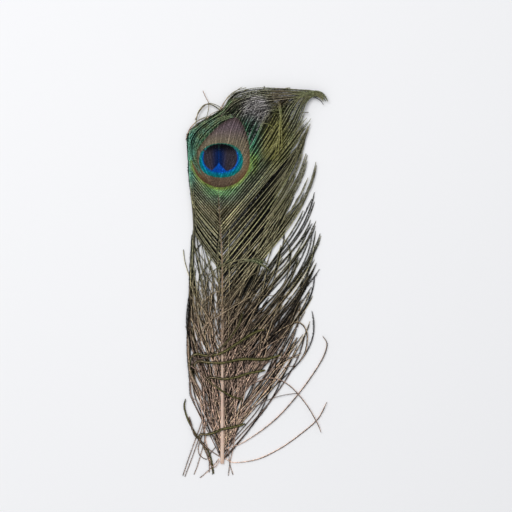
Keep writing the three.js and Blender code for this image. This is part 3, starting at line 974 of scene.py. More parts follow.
def with_height(flat, roots, level, draw, lift=0.6):
    """Lays flat curves at their own levels, from the shaft's side, with a slight arch."""
    count, points = flat.shape[:2]
    t = np.linspace(0, 1, points)
    start = (0.5 * shaft_size(roots)[1])[:, None]
    settle = rise(t / 0.16, 0.0, 1.0)
    arch = draw.uniform(0, lift, (count, 1)) * np.sin(np.pi * t)
    height = start + (level[:, None] - start) * settle + arch
    return np.concatenate([flat, np.maximum(height, LOWEST_LINE)[..., None]], -1)


def smooth_line(points, count):
    """A smooth curve with this many points through given ones."""
    points = np.asarray(points, float)
    ends = (2 * points[0] - points[1], 2 * points[-1] - points[-2])
    padded = np.vstack([ends[0], points, ends[1]])
    t = np.linspace(0, len(points) - 1, count)
    i = np.minimum(t.astype(int), len(points) - 2)
    f = (t - i)[:, None]
    a, b, c, d = (padded[i + k] for k in range(4))
    return 0.5 * (2 * b + (c - a) * f + (2 * a - 5 * b + 4 * c - d) * f**2
                  + (3 * b - a - 3 * c + d) * f**3)


class BarbMesh:
    """Collects the ribs and barbules of one piece, then makes them one mesh."""

    def __init__(self, name):
        self.name = name
        self.rows = 0  # rows of the bake map, one for each barb
        self.places, self.faces, self.maps = [], [], []
        self.values = {"tone": [], "along": [], "rib": [], "fringe": []}
        self.vertex_count = 0

    def add(self, places, faces, maps, **values):
        """Vertices (n, 3), triangles (m, 3), their map corners (m, 3, 2) and vertex values."""
        self.places.append(places.reshape(-1, 3))
        self.faces.append(faces + self.vertex_count)
        self.maps.append(maps)
        for name, value in values.items():
            self.values[name].append(np.broadcast_to(value, len(self.places[-1])).astype(float))
        self.vertex_count += len(self.places[-1])

    def barb(self, line, tone, rib_width, pitch, barbules, draw, skip=None, lean=0.0):
        """One barb along a line: a three-sided rib, and a row of barbules on each side.

        barbules(t, places) gives length, width and angle in degrees at each share t of the
        line. skip(places) is true where no barbule stands. lean of -1 to 1 makes one side's
        barbules longer and closer than the other's.
        """
        steps = np.linalg.norm(np.diff(line, axis=0), axis=1)
        gone = np.concatenate([[0], np.cumsum(steps)])
        length = gone[-1]
        row = self.rows + 0.5
        self.rows += 1
        tangent = np.gradient(line, axis=0)
        tangent /= np.linalg.norm(tangent, axis=1)[:, None]
        across = np.stack([tangent[:, 1], -tangent[:, 0], np.zeros(len(line))], -1)
        across /= np.linalg.norm(across, axis=1)[:, None]
        t = gone / length
        if rib_width:
            self._rib(line, across, t, tone, rib_width, row)
        for side in (-1, 1):
            fuller = 1 + lean * side
            count = max(int(length / pitch * min(1.0, 0.4 + 0.6 * fuller)), 2)
            at = (np.arange(count) + draw.uniform(0.1, 0.9, count)) / count
            slot = (np.arange(count) + 0.5) / count
            root = np.stack([np.interp(at, t, line[:, k]) for k in range(3)], -1)
            if skip is not None:
                keep = ~skip(root)
                at, slot, root = at[keep], slot[keep], root[keep]
            if len(at) == 0:
                continue
            forward = np.stack([np.interp(at, t, tangent[:, k]) for k in range(3)], -1)
            outward = side * np.stack([np.interp(at, t, across[:, k]) for k in range(3)], -1)
            long, wide, angle = barbules(at, root)
            long = long * draw.uniform(0.75, 1.2, len(at)) * fuller
            angle = np.radians(angle + draw.normal(0, 6, len(at)))
            reach = forward * np.cos(angle)[:, None] + outward * np.sin(angle)[:, None]
            rise_by = draw.normal(0.1 if side > 0 else 0.02, 0.1, len(at)) * long
            tip = root + reach * long[:, None]
            tip[:, 2] = np.maximum(tip[:, 2] + rise_by, LOWEST_TIP)
            broad = np.cross(reach, [0, 0, 1.0])
            broad /= np.linalg.norm(broad, axis=1)[:, None]
            middle = root * (1 - WAIST) + tip * WAIST
            cant = np.stack([np.zeros(len(at)), np.zeros(len(at)), wide * CANT], -1)
            one = middle + broad * wide[:, None] / 2 + cant
            other = middle - broad * wide[:, None] / 2 - cant
            places = np.stack([root, one, tip, other], 1)
            places[..., 2] = np.maximum(places[..., 2], LOWEST_BARBULE)
            first = 4 * np.arange(len(at))[:, None]
            faces = np.concatenate([first + (0, 1, 2), first + (0, 2, 3)])
            near, far = row + side * 0.1, row + side * 0.46
            corner = [
                np.stack([slot + turn * 0.45 / count, np.full(len(at), level)], -1)
                for turn, level in ((0, near), (1, (near + far) / 2), (0, far),
                                    (-1, (near + far) / 2))
            ]
            maps = np.concatenate([
                np.stack([corner[0], corner[1], corner[2]], 1),
                np.stack([corner[0], corner[2], corner[3]], 1),
            ])
            self.add(places, faces, maps, tone=tone, along=np.repeat(at, 4), rib=0.0,
                     fringe=np.tile((0.0, 0.5, 1.0, 0.5), len(at)))

    def _rib(self, line, across, t, tone, rib_width, row):
        """A rib with three sides and closed ends, in the middle of its row of the bake map."""
        half = (rib_width / 2 * (1 - RIB_TAPER * t))[:, None]
        up = np.array([0, 0, 1.0])
        ring = np.stack([line - across * half - up * half * 0.3,
                         line + up * half * 0.7,
                         line + across * half - up * half * 0.3], 1)
        ring[..., 2] = np.maximum(ring[..., 2], LOWEST_RIB)
        count = len(line)
        first = 3 * np.arange(count - 1)[:, None]
        sides, maps = [], []
        for a, b, low, high in ((0, 1, -0.09, -0.035), (1, 2, -0.03, 0.03), (2, 0, 0.035, 0.09)):
            sides += [first + (a, b, b + 3), first + (a, b + 3, a + 3)]
            edges = [
                np.stack([share, np.full(count - 1, row + level)], -1)
                for share in (t[:-1], t[1:]) for level in (low, high)
            ]
            maps += [np.stack([edges[0], edges[1], edges[3]], 1),
                     np.stack([edges[0], edges[3], edges[2]], 1)]
        last = 3 * (count - 1)
        sides.append(np.array([[0, 2, 1], [last, last + 1, last + 2]]))
        maps.append(np.array([[(at, row + 0.47), (at + 0.002, row + 0.47), (at, row + 0.49)]
                              for at in (0.0, 0.99)]))
        self.add(ring, np.concatenate(sides), np.concatenate(maps),
                 tone=tone, along=np.repeat(t, 3), rib=1.0, fringe=0.0)

    def finished(self, material, slot, nodes):
        """Makes the piece an object in the frame, standing for these frame nodes."""
        places = np.concatenate(self.places) * MM + (*FOOT, 0.0)
        faces = np.concatenate(self.faces)
        mesh = bpy.data.meshes.new(self.name)
        mesh.vertices.add(len(places))
        mesh.vertices.foreach_set("co", places.astype(np.float32).ravel())
        mesh.loops.add(faces.size)
        mesh.loops.foreach_set("vertex_index", faces.astype(np.int32).ravel())
        mesh.polygons.add(len(faces))
        mesh.polygons.foreach_set("loop_start", np.arange(0, faces.size, 3, dtype=np.int32))
        mesh.update(calc_edges=True)
        for name, values in self.values.items():
            layer = mesh.attributes.new(name, "FLOAT", "POINT")
            layer.data.foreach_set("value", np.concatenate(values).astype(np.float32))
        corners = np.concatenate(self.maps) / (1.0, self.rows)
        bake_map = mesh.uv_layers.new(name="OFBake")
        bake_map.data.foreach_set("uv", corners.astype(np.float32).ravel())
        mesh.materials.append(material)
        piece = bpy.data.objects.new(self.name, mesh)
        bpy.context.scene.collection.objects.link(piece)
        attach(piece, "root")
        if nodes:
            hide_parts(*nodes)


# ------------------------------------------------------------------ the pieces

def toned(clumps, low, high, draw, dark_share=DARK_SHARE):
    """A tone for each barb, nearly shared in its clump, and at its lowest in this share."""
    first, at = np.unique(clumps, return_inverse=True)
    shared = low + (high - low) * rise(draw.random(len(first)), dark_share, 0.95)
    tones = shared[at] + draw.normal(0, 0.1, len(clumps))
    return np.clip(tones, low, 1.0)


def side_barbs(side, sizes, material):
    """The barbs below the eye on one side, the upper ones as a vane and the lower ones loose."""
    word = "right" if side > 0 else "left"
    draw = np.random.default_rng(SEEDS[word])
    pitch, loft = sizes.barb_pitch / MM, sizes.loft / MM
    rib, step = sizes.rib_width / MM, sizes.barbule_pitch / MM
    long, wide = sizes.barbule_length / MM, sizes.barbule_width / MM
    vane_root = VANE_ROOTS[side]
    under = BarbMesh(f"{word}_shaded_barbs")
    upper = BarbMesh(f"{word}_vane")
    lower = BarbMesh(f"{word}_loose_barbs")

    def by_side(left, right):
        return right if side > 0 else left

    def vane(t, place):
        size = (0.85 + 0.3 * rise(t, 0.6, 0.95)) * (1 - 0.6 * rise(t, 0.92, 1.0))
        return long * 0.85 * size, wide * (0.6 + 0.4 * size), 34 + 12 * t

    def shaded(t, place):
        size = 1 + 0.5 * rise(t, 0.3, 0.7) - 0.9 * rise(t, 0.88, 1.0)
        return long * size, wide * 1.3 * size, 40 + 10 * t

    def loose(t, place):
        size = (0.7 + 0.2 * rise(t, 0.3, 0.8)) * (1 - 0.6 * rise(t, 0.94, 1.0))
        return long * size, wide * (0.7 + 0.3 * size), 28 + 12 * t

    def grown(mesh, low, high, spacing, clump=1.1, level=(0.6, 1.5), tone=(0.0, 1.0),
              barbules=loose, width=0.85, lean=0.85, start=0.0, dark_share=DARK_SHARE, **habit):
        """Barbs rooted from low to high, at this share of the pitch, with this way to lie."""
        spacing = pitch * spacing
        roots = np.arange(low, high, spacing)
        roots = np.sort(roots + draw.normal(0, spacing * 0.2, len(roots)))
        clumps = clumped(roots, draw, clump)
        flat = barb_curves(side, roots, draw, clumps, **habit)
        levels = draw.uniform(*level, len(roots))
        lines = with_height(flat, roots, levels, draw)
        for line, shade in zip(lines, toned(clumps, *tone, draw, dark_share)):
            own_width = rib * width * draw.uniform(0.85, 1.15)
            first = int(len(line) * start * draw.uniform(0.8, 1.2))
            mesh.barb(line[first:], shade, own_width, step, barbules, draw,
                      lean=draw.choice((-1, 1)) * lean * draw.uniform(0.7, 1.0))

    # the vane over its shaded barbs, with more half-covered barbs on the right
    # the shaded barbs are near black, partly their own dark and partly painted shade under the
    # vane
    grown(under, vane_root + 2, CROWN_ROOT + 12, 0.6, clump=1.0, level=(0.3, 0.6),
          tone=(0.0, 0.2), barbules=shaded, width=0.5, lean=0.2,
          spread=1.4, turn=0.5, sway=0.4, reach=(0.5, 0.76), inset=2.4)
    grown(upper, vane_root, CROWN_ROOT + 4, by_side(0.95, 1.2), clump=1.3,
          level=(1.2, 1.1 + loft), tone=by_side((0.3, 0.95), (0.4, 1.0)), barbules=vane,
          width=1.15, lean=0.2, spread=1.2, turn=0.4, sway=0.3, pull=0.3)
    if side > 0:
        grown(upper, 132, CROWN_ROOT + 4, 0.8, clump=1.2, level=(0.7, 1.3), tone=(0.1, 1.0),
              barbules=vane, width=0.9, lean=0.2, start=0.5,
              spread=2.0, turn=0.6, sway=0.8, pull=0.3, reach=(0.72, 0.95))

    # loose barbs that fan out, those that stray from them, and those close to the shaft
    highest = by_side(82, 104)
    grown(lower, LOWEST_ROOT, highest, by_side(1.3, 0.85), clump=1.3, level=(0.3, 1.1),
          tone=by_side((0.35, 1.0), (0.1, 1.0)), dark_share=0.35,
          points=48, spread=5.0, turn=3.0, sway=2.2, reach=(0.75, 1.0), pull=0.4, clear=0.4)
    grown(lower, LOWEST_ROOT + 6, highest, 1.3, tone=(0.5, 1.0), width=0.9, points=48,
          spread=8.0, turn=8.0, sway=4.0, reach=(0.6, 1.0), pull=0.2, steep=(0.5, 1.0), clear=0.4)
    grown(lower, LOWEST_ROOT, vane_root - 4, by_side(1.8, 1.1), level=(0.4, 1.0),
          tone=(0.2, 1.0), points=48, spread=5.0, turn=5.0, sway=3.0,
          reach=by_side((0.35, 0.6), (0.5, 0.9)), pull=0.2,
          steep=by_side((0.05, 0.5), (0.1, 0.6)), clear=0.6)
    grown(lower, LOWEST_ROOT, 40, 1.05, width=0.9, dark_share=0.4, points=48, spread=8.0,
          turn=8.0, sway=4.0, reach=(0.7, 1.0), pull=0.2, steep=(0.2, 1.1), clear=0.4)

    # denser barbs that fill the right side, dark ones lowest
    if side > 0:
        # near black, partly their own dark and partly painted shade under the loose barbs
        grown(under, 38, vane_root, 0.7, level=(0.25, 0.5), tone=(0.0, 0.1), barbules=shaded,
              width=0.5, lean=0.5, points=32, spread=4.0, turn=3.0, sway=2.0,
              reach=(0.35, 0.66), pull=0.2, steep=(0.3, 0.9), clear=0.3)
        grown(lower, 14, 62, 1.1, clump=1.3, level=(0.5, 1.5), tone=(0.1, 1.0), width=0.95,
              points=48, spread=2.0, turn=1.5, sway=1.2, reach=(0.7, 1.0), pull=0.4,
              steep=(0.9, 1.06), clear=0.4)
        grown(lower, 46, vane_root, 0.8, level=(0.5, 1.5), tone=(0.0, 0.7), width=0.8,
              points=48, spread=7.0, turn=7.0, sway=3.4, reach=(0.5, 0.9), pull=0.2,
              steep=(0.3, 0.9), clear=0.5)

    # the lowest barbs of the vane, already loose
    grown(lower, highest, vane_root + 2, by_side(3.4, 0.6), clump=1.2, tone=(0.3, 1.0),
          width=0.9, lean=0.8, points=48, spread=4.0, turn=3.0, sway=2.0, reach=(0.8, 1.0),
          pull=0.3, steep=(0.7, 1.0))
    for mesh in (under, upper, lower):
        mesh.finished(material, "herl", [f"{word}_barbs"])


def even_roots(side, pitch):
    """Root heights that space this side's eye barbs evenly across the eye."""
    roots = np.linspace(CROWN_ROOT, HIGHEST_ROOT, 400)
    calm = np.random.default_rng(0)
    flat = barb_curves(side, roots, calm, spread=0.0, turn=0.0, sway=0.0, reach=(1.0, 1.0))
    steps = np.linalg.norm(np.diff(flat, axis=1), axis=2)
    gone = np.pad(np.cumsum(steps, axis=1), ((0, 0), (1, 0)))
    crossing = np.array([
        [np.interp(EYE_CROSSING, past, line[:, axis]) for axis in (0, 1)]
        for line, past in zip(flat, gone)
    ])
    gaps = np.linalg.norm(np.diff(crossing, axis=0), axis=1)
    gone = np.concatenate([[0], np.cumsum(gaps)])
    return np.interp(np.linspace(0, gone[-1], int(gone[-1] / pitch) + 1), gone, roots)


def eye_distance(place):
    """Distance of places from the eye's middle, 1 on the edge of its oval."""
    return oval_distance(place[:, 0] - EYE_PLACE[0], place[:, 1] - EYE_PLACE[1])


class Crown:
    """Grows the barbs that carry the eye: their web, their ribs and their free ends."""

    def __init__(self, sizes):
        self.draw = np.random.default_rng(SEEDS["crown"])
        self.pitch = sizes.eye_pitch / MM
        self.rib, self.step = sizes.rib_width / MM * 0.85, sizes.barbule_pitch / MM
        self.long, self.wide = sizes.barbule_length / MM, sizes.barbule_width / MM
        self.web_long, self.web_wide = sizes.web_length / MM, sizes.web_width / MM
        self.lift, self.dome = sizes.eye_lift / MM, sizes.eye_dome / MM
        self.carriers = BarbMesh("crown_carrier_barbs")
        self.ends = BarbMesh("crown_free_ends")
        self.web = BarbMesh("eye_web_barbules")

    def loose(self, t, place):
        size = (0.38 + 0.3 * t) * (1 - 0.6 * rise(t, 0.93, 1.0))
        return self.long * size, self.wide * (0.6 + 0.4 * size), 30 + 14 * t

    def webbed(self, t, place):
        held = 1 - 0.5 * rise(eye_distance(place), WEB_EDGE - 0.2, WEB_EDGE)
        return self.web_long * held, self.web_wide * held, np.full(len(t), 30.0)

    def shaded(self, t, place):
        size = 1 + 0.6 * rise(t, 0.3, 0.7) - 1.1 * rise(t, 0.88, 1.0)
        return self.long * 1.5 * size, self.wide * 1.8 * size, 38 + 10 * t

    def grow_under_layer(self, side):
        """Shaded barbs underneath, near black: partly their own dark, partly painted shade under
        the crown.
        """
        draw = self.draw
        roots = even_roots(side, self.pitch * 1.5)
        flat = barb_curves(side, roots, draw, spread=1.2, turn=0.2, sway=0.5,
                           reach=(0.68, 0.88), inset=3.4)
        low = with_height(flat, roots, draw.uniform(0.7, 1.2, len(roots)), draw, 0.3)
        for line, tone in zip(low, draw.uniform(0.0, 0.2, len(roots))):
            self.carriers.barb(line, tone, self.rib * 0.6, self.step * 2.0, self.shaded, draw)

    def grow_free_ends(self, side):
        """Fine free ends that come out from under the web."""
        draw = self.draw
        roots = even_roots(side, self.pitch * 1.1)
        flat = barb_curves(side, roots, draw, points=80, spread=3.6, turn=0.8, sway=1.8,
                           reach=(0.7, 1.0))
        # dark ends lie lower and nearly black: partly their own dark, partly painted shade under
        # the bright ones
        bright = draw.random(len(roots)) < 0.6
        level = draw.uniform(1.2, self.lift, len(roots)) + 0.6 * bright
        high = with_height(flat, roots, level, draw, 1.0)
        tones = np.where(bright, draw.uniform(0.65, 1.0, len(roots)), 0.05)
        for line, tone in zip(high, tones):
            free = line[eye_distance(line) > WEB_EDGE - 0.08]
            free = free[free[:, 1] > EYE_PLACE[1]]
            if len(free) > 8:
                self.ends.barb(free, tone, self.rib, self.step * 1.2, self.loose, draw)

    def grow_web(self, side):
        """The barbs that carry the web: even inside the eye, on their own courses past it."""
        draw = self.draw
        roots = even_roots(side, self.pitch)
        clumps = clumped(roots, draw, 1.4)
        flat = barb_curves(side, roots, draw, clumps, pull=0.5, points=80, spread=1.6, turn=0.2,
                           sway=0.5, reach=(0.8, 1.0))
        straight = barb_curves(side, roots, draw, points=80, spread=0.3, turn=0.1, sway=0.05,
                               reach=(0.95, 1.0))
        levels = self.lift + draw.uniform(-0.2, 0.2, len(roots))
        tones = toned(clumps, 0.5, 1.0, draw)
        # every second barb nearly black: partly its own dark, partly painted shade in the gaps
        # between bright ones
        tones[1::2] *= 0.05
        t = np.linspace(0, 1, 80)
        for own, even, root, level, tone in zip(flat, straight, roots, levels, tones):
            past_eye = rise(eye_distance(even), 1.05, 1.8)
            past_eye = np.maximum.accumulate(past_eye * rise(t, 0.15, 0.4))[:, None]
            course = even * (1 - past_eye) + own * past_eye
            line = with_height(course[None], np.array([root]), np.array([level]), draw, 0.0)[0]
            near = 1 - rise(eye_distance(line), 0.2, 1.5)
            line[:, 2] += self.dome * near + rise(t, 0.45, 1.0) * draw.uniform(-1.4, 2.4)
            edge = WEB_EDGE * draw.normal(1.0, 0.04)

            def held(place):
                return eye_distance(place) < edge

            self.carriers.barb(line, tone, self.rib * (0.7 + 0.6 * (tone > 0.3)), self.step,
                               self.loose, draw, skip=held)
            inside = held(line)
            if inside.sum() > 3:
                first, last = np.flatnonzero(inside)[[0, -1]]
                self.web.barb(line[first:last + 1], 0.4 + 0.3 * tone, None, self.step * 0.7,
                              self.webbed, draw)

    def grow_between(self, edges, count, shortest):
        """Barbs between two given lines, each at least this share of their length."""
        draw = self.draw
        for number, share in enumerate(np.linspace(0, 1, count)):
            line = between(*edges, share + draw.normal(0, 0.02), 90)
            first, last = draw.uniform(0.0, 0.35), draw.uniform(shortest, 1.0)
            line = line[int(90 * first):int(90 * last)]
            # dark barbs lie lower and nearly black: partly their own dark, partly painted shade
            # under the bright ones
            bright = number % 5 in (0, 3)
            line[:, 2] += (0.6 if bright else -0.3) + draw.uniform(-0.2, 0.2)
            wave = draw.uniform(0.1, 0.5) * np.sin(np.linspace(0, draw.uniform(3, 8), len(line)))
            line[:, 1] += wave
            tone = draw.uniform(0.6, 1.0) if bright else 0.05
            self.ends.barb(line, tone, self.rib, self.step, self.loose, draw)

    def grow_ruffle(self):
        """Ruffled short ends where the crown turns its reverse side up."""
        draw = self.draw
        middle = np.add(EYE_PLACE, REVERSE_PATCH)
        for _ in range(RUFFLE_COUNT):
            start = middle + draw.normal(0, 1.0, 2) * (8.0, 5.0)
            turn = np.radians(draw.normal(32, 22))
            bend = draw.normal(-0.1, 0.45)
            past = np.linspace(0, draw.uniform(7, 15), 24)
            angle = turn + bend * past / 10
            flat = start + np.stack([np.cos(angle), np.sin(angle)], -1) * past[:, None]
            flat = pressed(flat[None], draw, 1.6)[0]
            height = 3.6 + 0.8 * np.sin(past / 4) + draw.uniform(-0.4, 0.4)
            self.ends.barb(np.column_stack([flat, height]), draw.choice((0.12, 0.4, 0.7)),
                           self.rib * 0.6, self.step, self.loose, draw)


def crown_and_eye(sizes, crown_material, eye_material):
    """The barbs that carry the eye: their web as one piece, their ribs and free ends as others."""
    crown = Crown(sizes)
    for side in (-1, 1):
        crown.grow_under_layer(side)
        crown.grow_free_ends(side)
        crown.grow_web(side)
    crown.grow_between(SWEEP_EDGES, SWEEP_COUNT, 0.7)
    crown.grow_between(HOOK_EDGES, HOOK_COUNT, 0.87)
    crown.grow_ruffle()
    crown.carriers.finished(crown_material, "crown_herl", ["crown_barbs"])
    crown.ends.finished(crown_material, "crown_herl", ["crown_barbs"])
    crown.web.finished(eye_material, "eye_web", ["eye_web"])


def between(first, second, share, count):
    """A smooth line part of the way between two given ones."""
    first, second = smooth_line(first, count), smooth_line(second, count)
    return first + (second - first) * share


def folded_barbs(sizes, material):
    """Crown barbs that have folded down over the left side of the eye."""
    draw = np.random.default_rng(SEEDS["folded"])
    rib, step = sizes.rib_width / MM * 0.65, sizes.barbule_pitch / MM
    long, wide = sizes.barbule_length / MM, sizes.barbule_width / MM

    def combed(t, place):
        size = 0.3 * (1 - 0.5 * rise(t, 0.9, 1.0))
        return long * size, wide * (0.5 + size), 28 + 8 * t

    mesh = BarbMesh("folded_barbs")
    for share in np.linspace(0, 1, FOLDED_COUNT):
        line = between(*FOLDED_EDGES, share + draw.normal(0, 0.02), 70)
        line = line[:int(70 * draw.uniform(0.8, 1.0))]
        wave = 0.35 * np.sin(np.linspace(0, draw.uniform(3, 7), len(line)) + draw.uniform(0, 6))
        line[:, 0] += wave
        # dark barbs lie lower and nearly black: partly their own dark, partly painted shade under
        # the bright ones
        tone = draw.choice((0.0, 0.0, 0.05, 0.6, 0.8, 1.0))
        line[:, 2] += draw.uniform(0.2, 0.7) if tone > 0.5 else -0.2
        mesh.barb(line, tone, rib, step, combed, draw)
    mesh.finished(material, "crown_herl", ["crown_barbs"])


def fine_strays(sizes, name, lines, material, shag, lean, tones):
    """Thin barbs that lie apart, with barbules this long, leaning to one side."""
    draw = np.random.default_rng(SEEDS["fine"])

    def bare(t, place):
        return np.full(len(t), shag), np.full(len(t), 0.2 + 0.25 * shag), 30 + 10 * t

    mesh = BarbMesh(name)
    for points in lines:
        mesh.barb(smooth_line(points, 60), draw.uniform(*tones), sizes.rib_width / MM * 0.9,
                  0.4, bare, draw, lean=lean)
    mesh.finished(material, "stray_herl", [])


def wandering_line(draw, start, turn, level):
    """A barb that wanders up from a start, arching this high above a level."""
    gone = np.linspace(0, draw.uniform(24, 52), 8)
    angle = np.radians(draw.normal(*turn) + draw.normal(0, 0.8) * gone)
    height = level[0] + draw.uniform(*level[1:]) * np.sin(np.linspace(0.2, 2.8, 8))
    steps = np.stack([np.sin(angle), np.cos(angle)], -1) * gone[1]
    flat = pressed((start + np.cumsum(steps, axis=0))[None], draw, 2.0)[0]
    return np.column_stack([flat, height])


def tangled_barbs():
    """Lines of barbs that wander over the shaft where the vane turns loose."""
    draw = np.random.default_rng(SEEDS["tangle"])
    return [
        wandering_line(draw, draw.normal(TANGLE_LOW, TANGLE_SPAN), (16, 20), (2.4, 0.4, 1.2))
        for _ in range(TANGLE_COUNT)
    ]


def crossing_lines():
    """Lines of thin barbs that cross the loose ones beside the quill, on both sides of it."""
    draw = np.random.default_rng(SEEDS["crossings"])
    lines = []
    for side, count in CROSSING_COUNTS.items():
        for _ in range(count):
            y = draw.uniform(*CROSSING_SPAN)
            start = (side * (CLEAR_OF_QUILL + draw.random() * (0.3 * y + 3)), y)
            line = wandering_line(draw, start, (side * 10, 20), (1.6, 0.1, 0.4))
            line[:, 0] = side * np.maximum(side * line[:, 0], CLEAR_OF_QUILL)
            lines.append(line)
    return lines


def stray_barbs(sizes, shaggy_material, sleek_material):
    """Each loose stray barb as its own fuzzy piece."""
    draw = np.random.default_rng(SEEDS["strays"])
    long, wide = sizes.barbule_length / MM, sizes.barbule_width / MM
    for number, (points, fuzz) in enumerate(zip(STRAY_BARBS, STRAY_FUZZ), 1):

        def fuzzy(t, place):
            size = 0.4 + 0.6 * rise(t, 0.05, 0.35)
            size = size * (1 - 0.5 * rise(t, 0.93, 1.0))
            return long * size * fuzz, wide * np.ones(len(t)), 38 + 12 * t

        shaggy = fuzz > SHAGGY
        mesh = BarbMesh(f"stray_herl_{number:02d}")
        line = smooth_line(points, 110) + (0, 0, STRAY_LIFT * shaggy)
        mesh.barb(line, draw.uniform(0.6, 0.95), sizes.rib_width / MM,
                  sizes.barbule_pitch / MM * 0.5, fuzzy, draw, lean=0.0 if shaggy else 0.6)
        mesh.finished(shaggy_material if shaggy else sleek_material, "stray_herl",
                      [f"stray_barb_{number:02d}"])


def deselect():
    """Leaves edit mode and deselects everything."""
    if bpy.context.object and bpy.context.object.mode != "OBJECT":
        bpy.ops.object.mode_set(mode="OBJECT")
    bpy.ops.object.select_all(action="DESELECT")


def shaft_piece(horn, pith):
    """The shaft, drawn out ring by ring from its cut foot, with a pithy hollow in the foot."""
    deselect()
    middle = (FOOT[0], FOOT[1], SHAFT_FOOT[1] / 2 * MM)
    bpy.ops.mesh.primitive_circle_add(
        vertices=SHAFT_SIDES, radius=MM, fill_type="NGON", location=middle,
        rotation=(math.pi / 2, 0, 0))
    shaft = bpy.context.object
    shaft.name = shaft.data.name = "shaft_quill"
    bpy.ops.object.transform_apply(location=True, rotation=True, scale=True)
    bpy.ops.object.mode_set(mode="EDIT")
    bpy.ops.mesh.select_all(action="SELECT")
    foot_scale = (SHAFT_FOOT[0] / 2, 1.0, SHAFT_FOOT[1] / 2)
    bpy.ops.transform.resize(value=foot_scale, center_override=middle)
    last_width, last_height = SHAFT_FOOT
    last = Vector(middle)
    for y in np.linspace(0, SHAFT_LENGTH, SHAFT_RINGS)[1:]:
        width, height = (float(size) for size in shaft_size(y))
        there = Vector((FOOT[0] + float(shaft_x(y)) * MM, FOOT[1] + y * MM, height / 2 * MM))
        bpy.ops.mesh.extrude_region_move(TRANSFORM_OT_translate={"value": there - last})
        bpy.ops.transform.resize(
            value=(width / last_width, 1.0, height / last_height), center_override=there)
        last, last_width, last_height = there, width, height
    bpy.ops.mesh.select_all(action="SELECT")
    bpy.ops.mesh.normals_make_consistent(inside=False)
    bpy.ops.mesh.select_all(action="DESELECT")
    bpy.ops.object.mode_set(mode="OBJECT")
    for face in shaft.data.polygons:
        face.select = face.center.y < FOOT[1] + 0.1 * MM
    shaft.data.materials.append(horn)
    shaft.data.materials.append(pith)
    bpy.ops.object.mode_set(mode="EDIT")
    for step in HOLLOW_RIM:
        bpy.ops.mesh.inset(thickness=step * MM)
    bpy.ops.mesh.extrude_region_move(
        TRANSFORM_OT_translate={"value": (0, HOLLOW_DEPTH * MM, 0)})
    shaft.active_material_index = 1
    bpy.ops.object.material_slot_assign()
    bpy.ops.mesh.inset(thickness=HOLLOW_END * MM)
    bpy.ops.object.mode_set(mode="OBJECT")
    bpy.ops.object.modifier_add(type="SUBSURF")
    rounding = shaft.modifiers[-1]
    rounding.levels = rounding.render_levels = 1
    bpy.ops.object.modifier_apply(modifier=rounding.name)
    bpy.ops.object.shade_smooth_by_angle(angle=math.radians(40))
    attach(shaft, "root")
    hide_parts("shaft")


# ------------------------------------------------------------------ floor, light and camera

def set_stage():
    """A pale floor, one soft lamp, a bright sky, and the camera straight over the feather."""
    deselect()
    bpy.ops.mesh.primitive_plane_add(size=FLOOR_SIZE, location=(0, 0, -FLOOR_GAP * MM))
    floor = bpy.context.object
    floor.name = "floor"
    material, _, shader = new_material("floor_white")
    shader.inputs["Base Color"].default_value = (0.88, 0.88, 0.89, 1.0)
    shader.inputs["Roughness"].default_value = 0.9
    floor.data.materials.append(material)

    middle = (FOOT[0] + FIELD_MIDDLE[0] * MM, FOOT[1] + FIELD_MIDDLE[1] * MM, 0.0)
    bpy.ops.object.light_add(type="AREA", location=Vector(middle) + Vector(LAMP_OFFSET))
    lamp = bpy.context.object
    lamp.name = "softbox"
    lamp.data.shape = "DISK"
    lamp.data.size = LAMP_SIZE
    lamp.data.energy = LAMP_WATTS
    aim = Vector(middle) - lamp.location
    lamp.rotation_euler = aim.to_track_quat("-Z", "Y").to_euler()

    world = bpy.data.worlds.new("studio")
    world.use_nodes = True
    background = world.node_tree.nodes["Background"]
    background.inputs["Color"].default_value = (0.97, 0.98, 1.0, 1.0)
    background.inputs["Strength"].default_value = SKY_STRENGTH
    bpy.context.scene.world = world
    bpy.context.scene.view_settings.view_transform = "Standard"

    distance = FIELD * MM * LENS / SENSOR
    bpy.ops.object.camera_add(location=(*middle[:2], distance), rotation=(0, 0, 0))
    camera = bpy.context.object
    camera.name = "camera"
    camera.data.lens = LENS
    camera.data.sensor_width = SENSOR
    camera.data.clip_end = 10.0
    bpy.context.scene.camera = camera


# ------------------------------------------------------------------ operators and panel

class FEATHER_OT_finishes(bpy.types.Operator):
    """Make the horn, pith and barb materials from the colours in the panel"""
    bl_idname = "feather.finishes"
    bl_label = "Finishes"

    def execute(self, context):
        colours = context.scene.feather_colours
        eye_colours_group(colours)
        barb_finish_group()
        for kind in BARB_KINDS:
            barb_material(kind, colours)
        horn_material(colours)
        pith_material(colours)
        return {"FINISHED"}


class FEATHER_OT_shaft(bpy.types.Operator):
    """Draw out the shaft from its cut foot to its point under the eye"""
    bl_idname = "feather.shaft"
    bl_label = "Shaft"

    def execute(self, context):
        shaft_piece(bpy.data.materials["horn_finish"], bpy.data.materials["pith_finish"])
        return {"FINISHED"}


class FEATHER_OT_side_barbs(bpy.types.Operator):
    """Grow the loose barbs of both sides below the eye"""
    bl_idname = "feather.side_barbs"
    bl_label = "Side barbs"

    def execute(self, context):
        for side in (-1, 1):
            side_barbs(side, context.scene.feather_sizes, bpy.data.materials["vane_finish"])
        return {"FINISHED"}


class FEATHER_OT_eye(bpy.types.Operator):
    """Grow the barbs of the eye and the crown, and the web that joins them"""
    bl_idname = "feather.eye"
    bl_label = "Eye and crown"

    def execute(self, context):
        crown_and_eye(context.scene.feather_sizes,
                      bpy.data.materials["crown_finish"], bpy.data.materials["eye_finish"])
        folded_barbs(context.scene.feather_sizes, bpy.data.materials["folded_finish"])
        return {"FINISHED"}


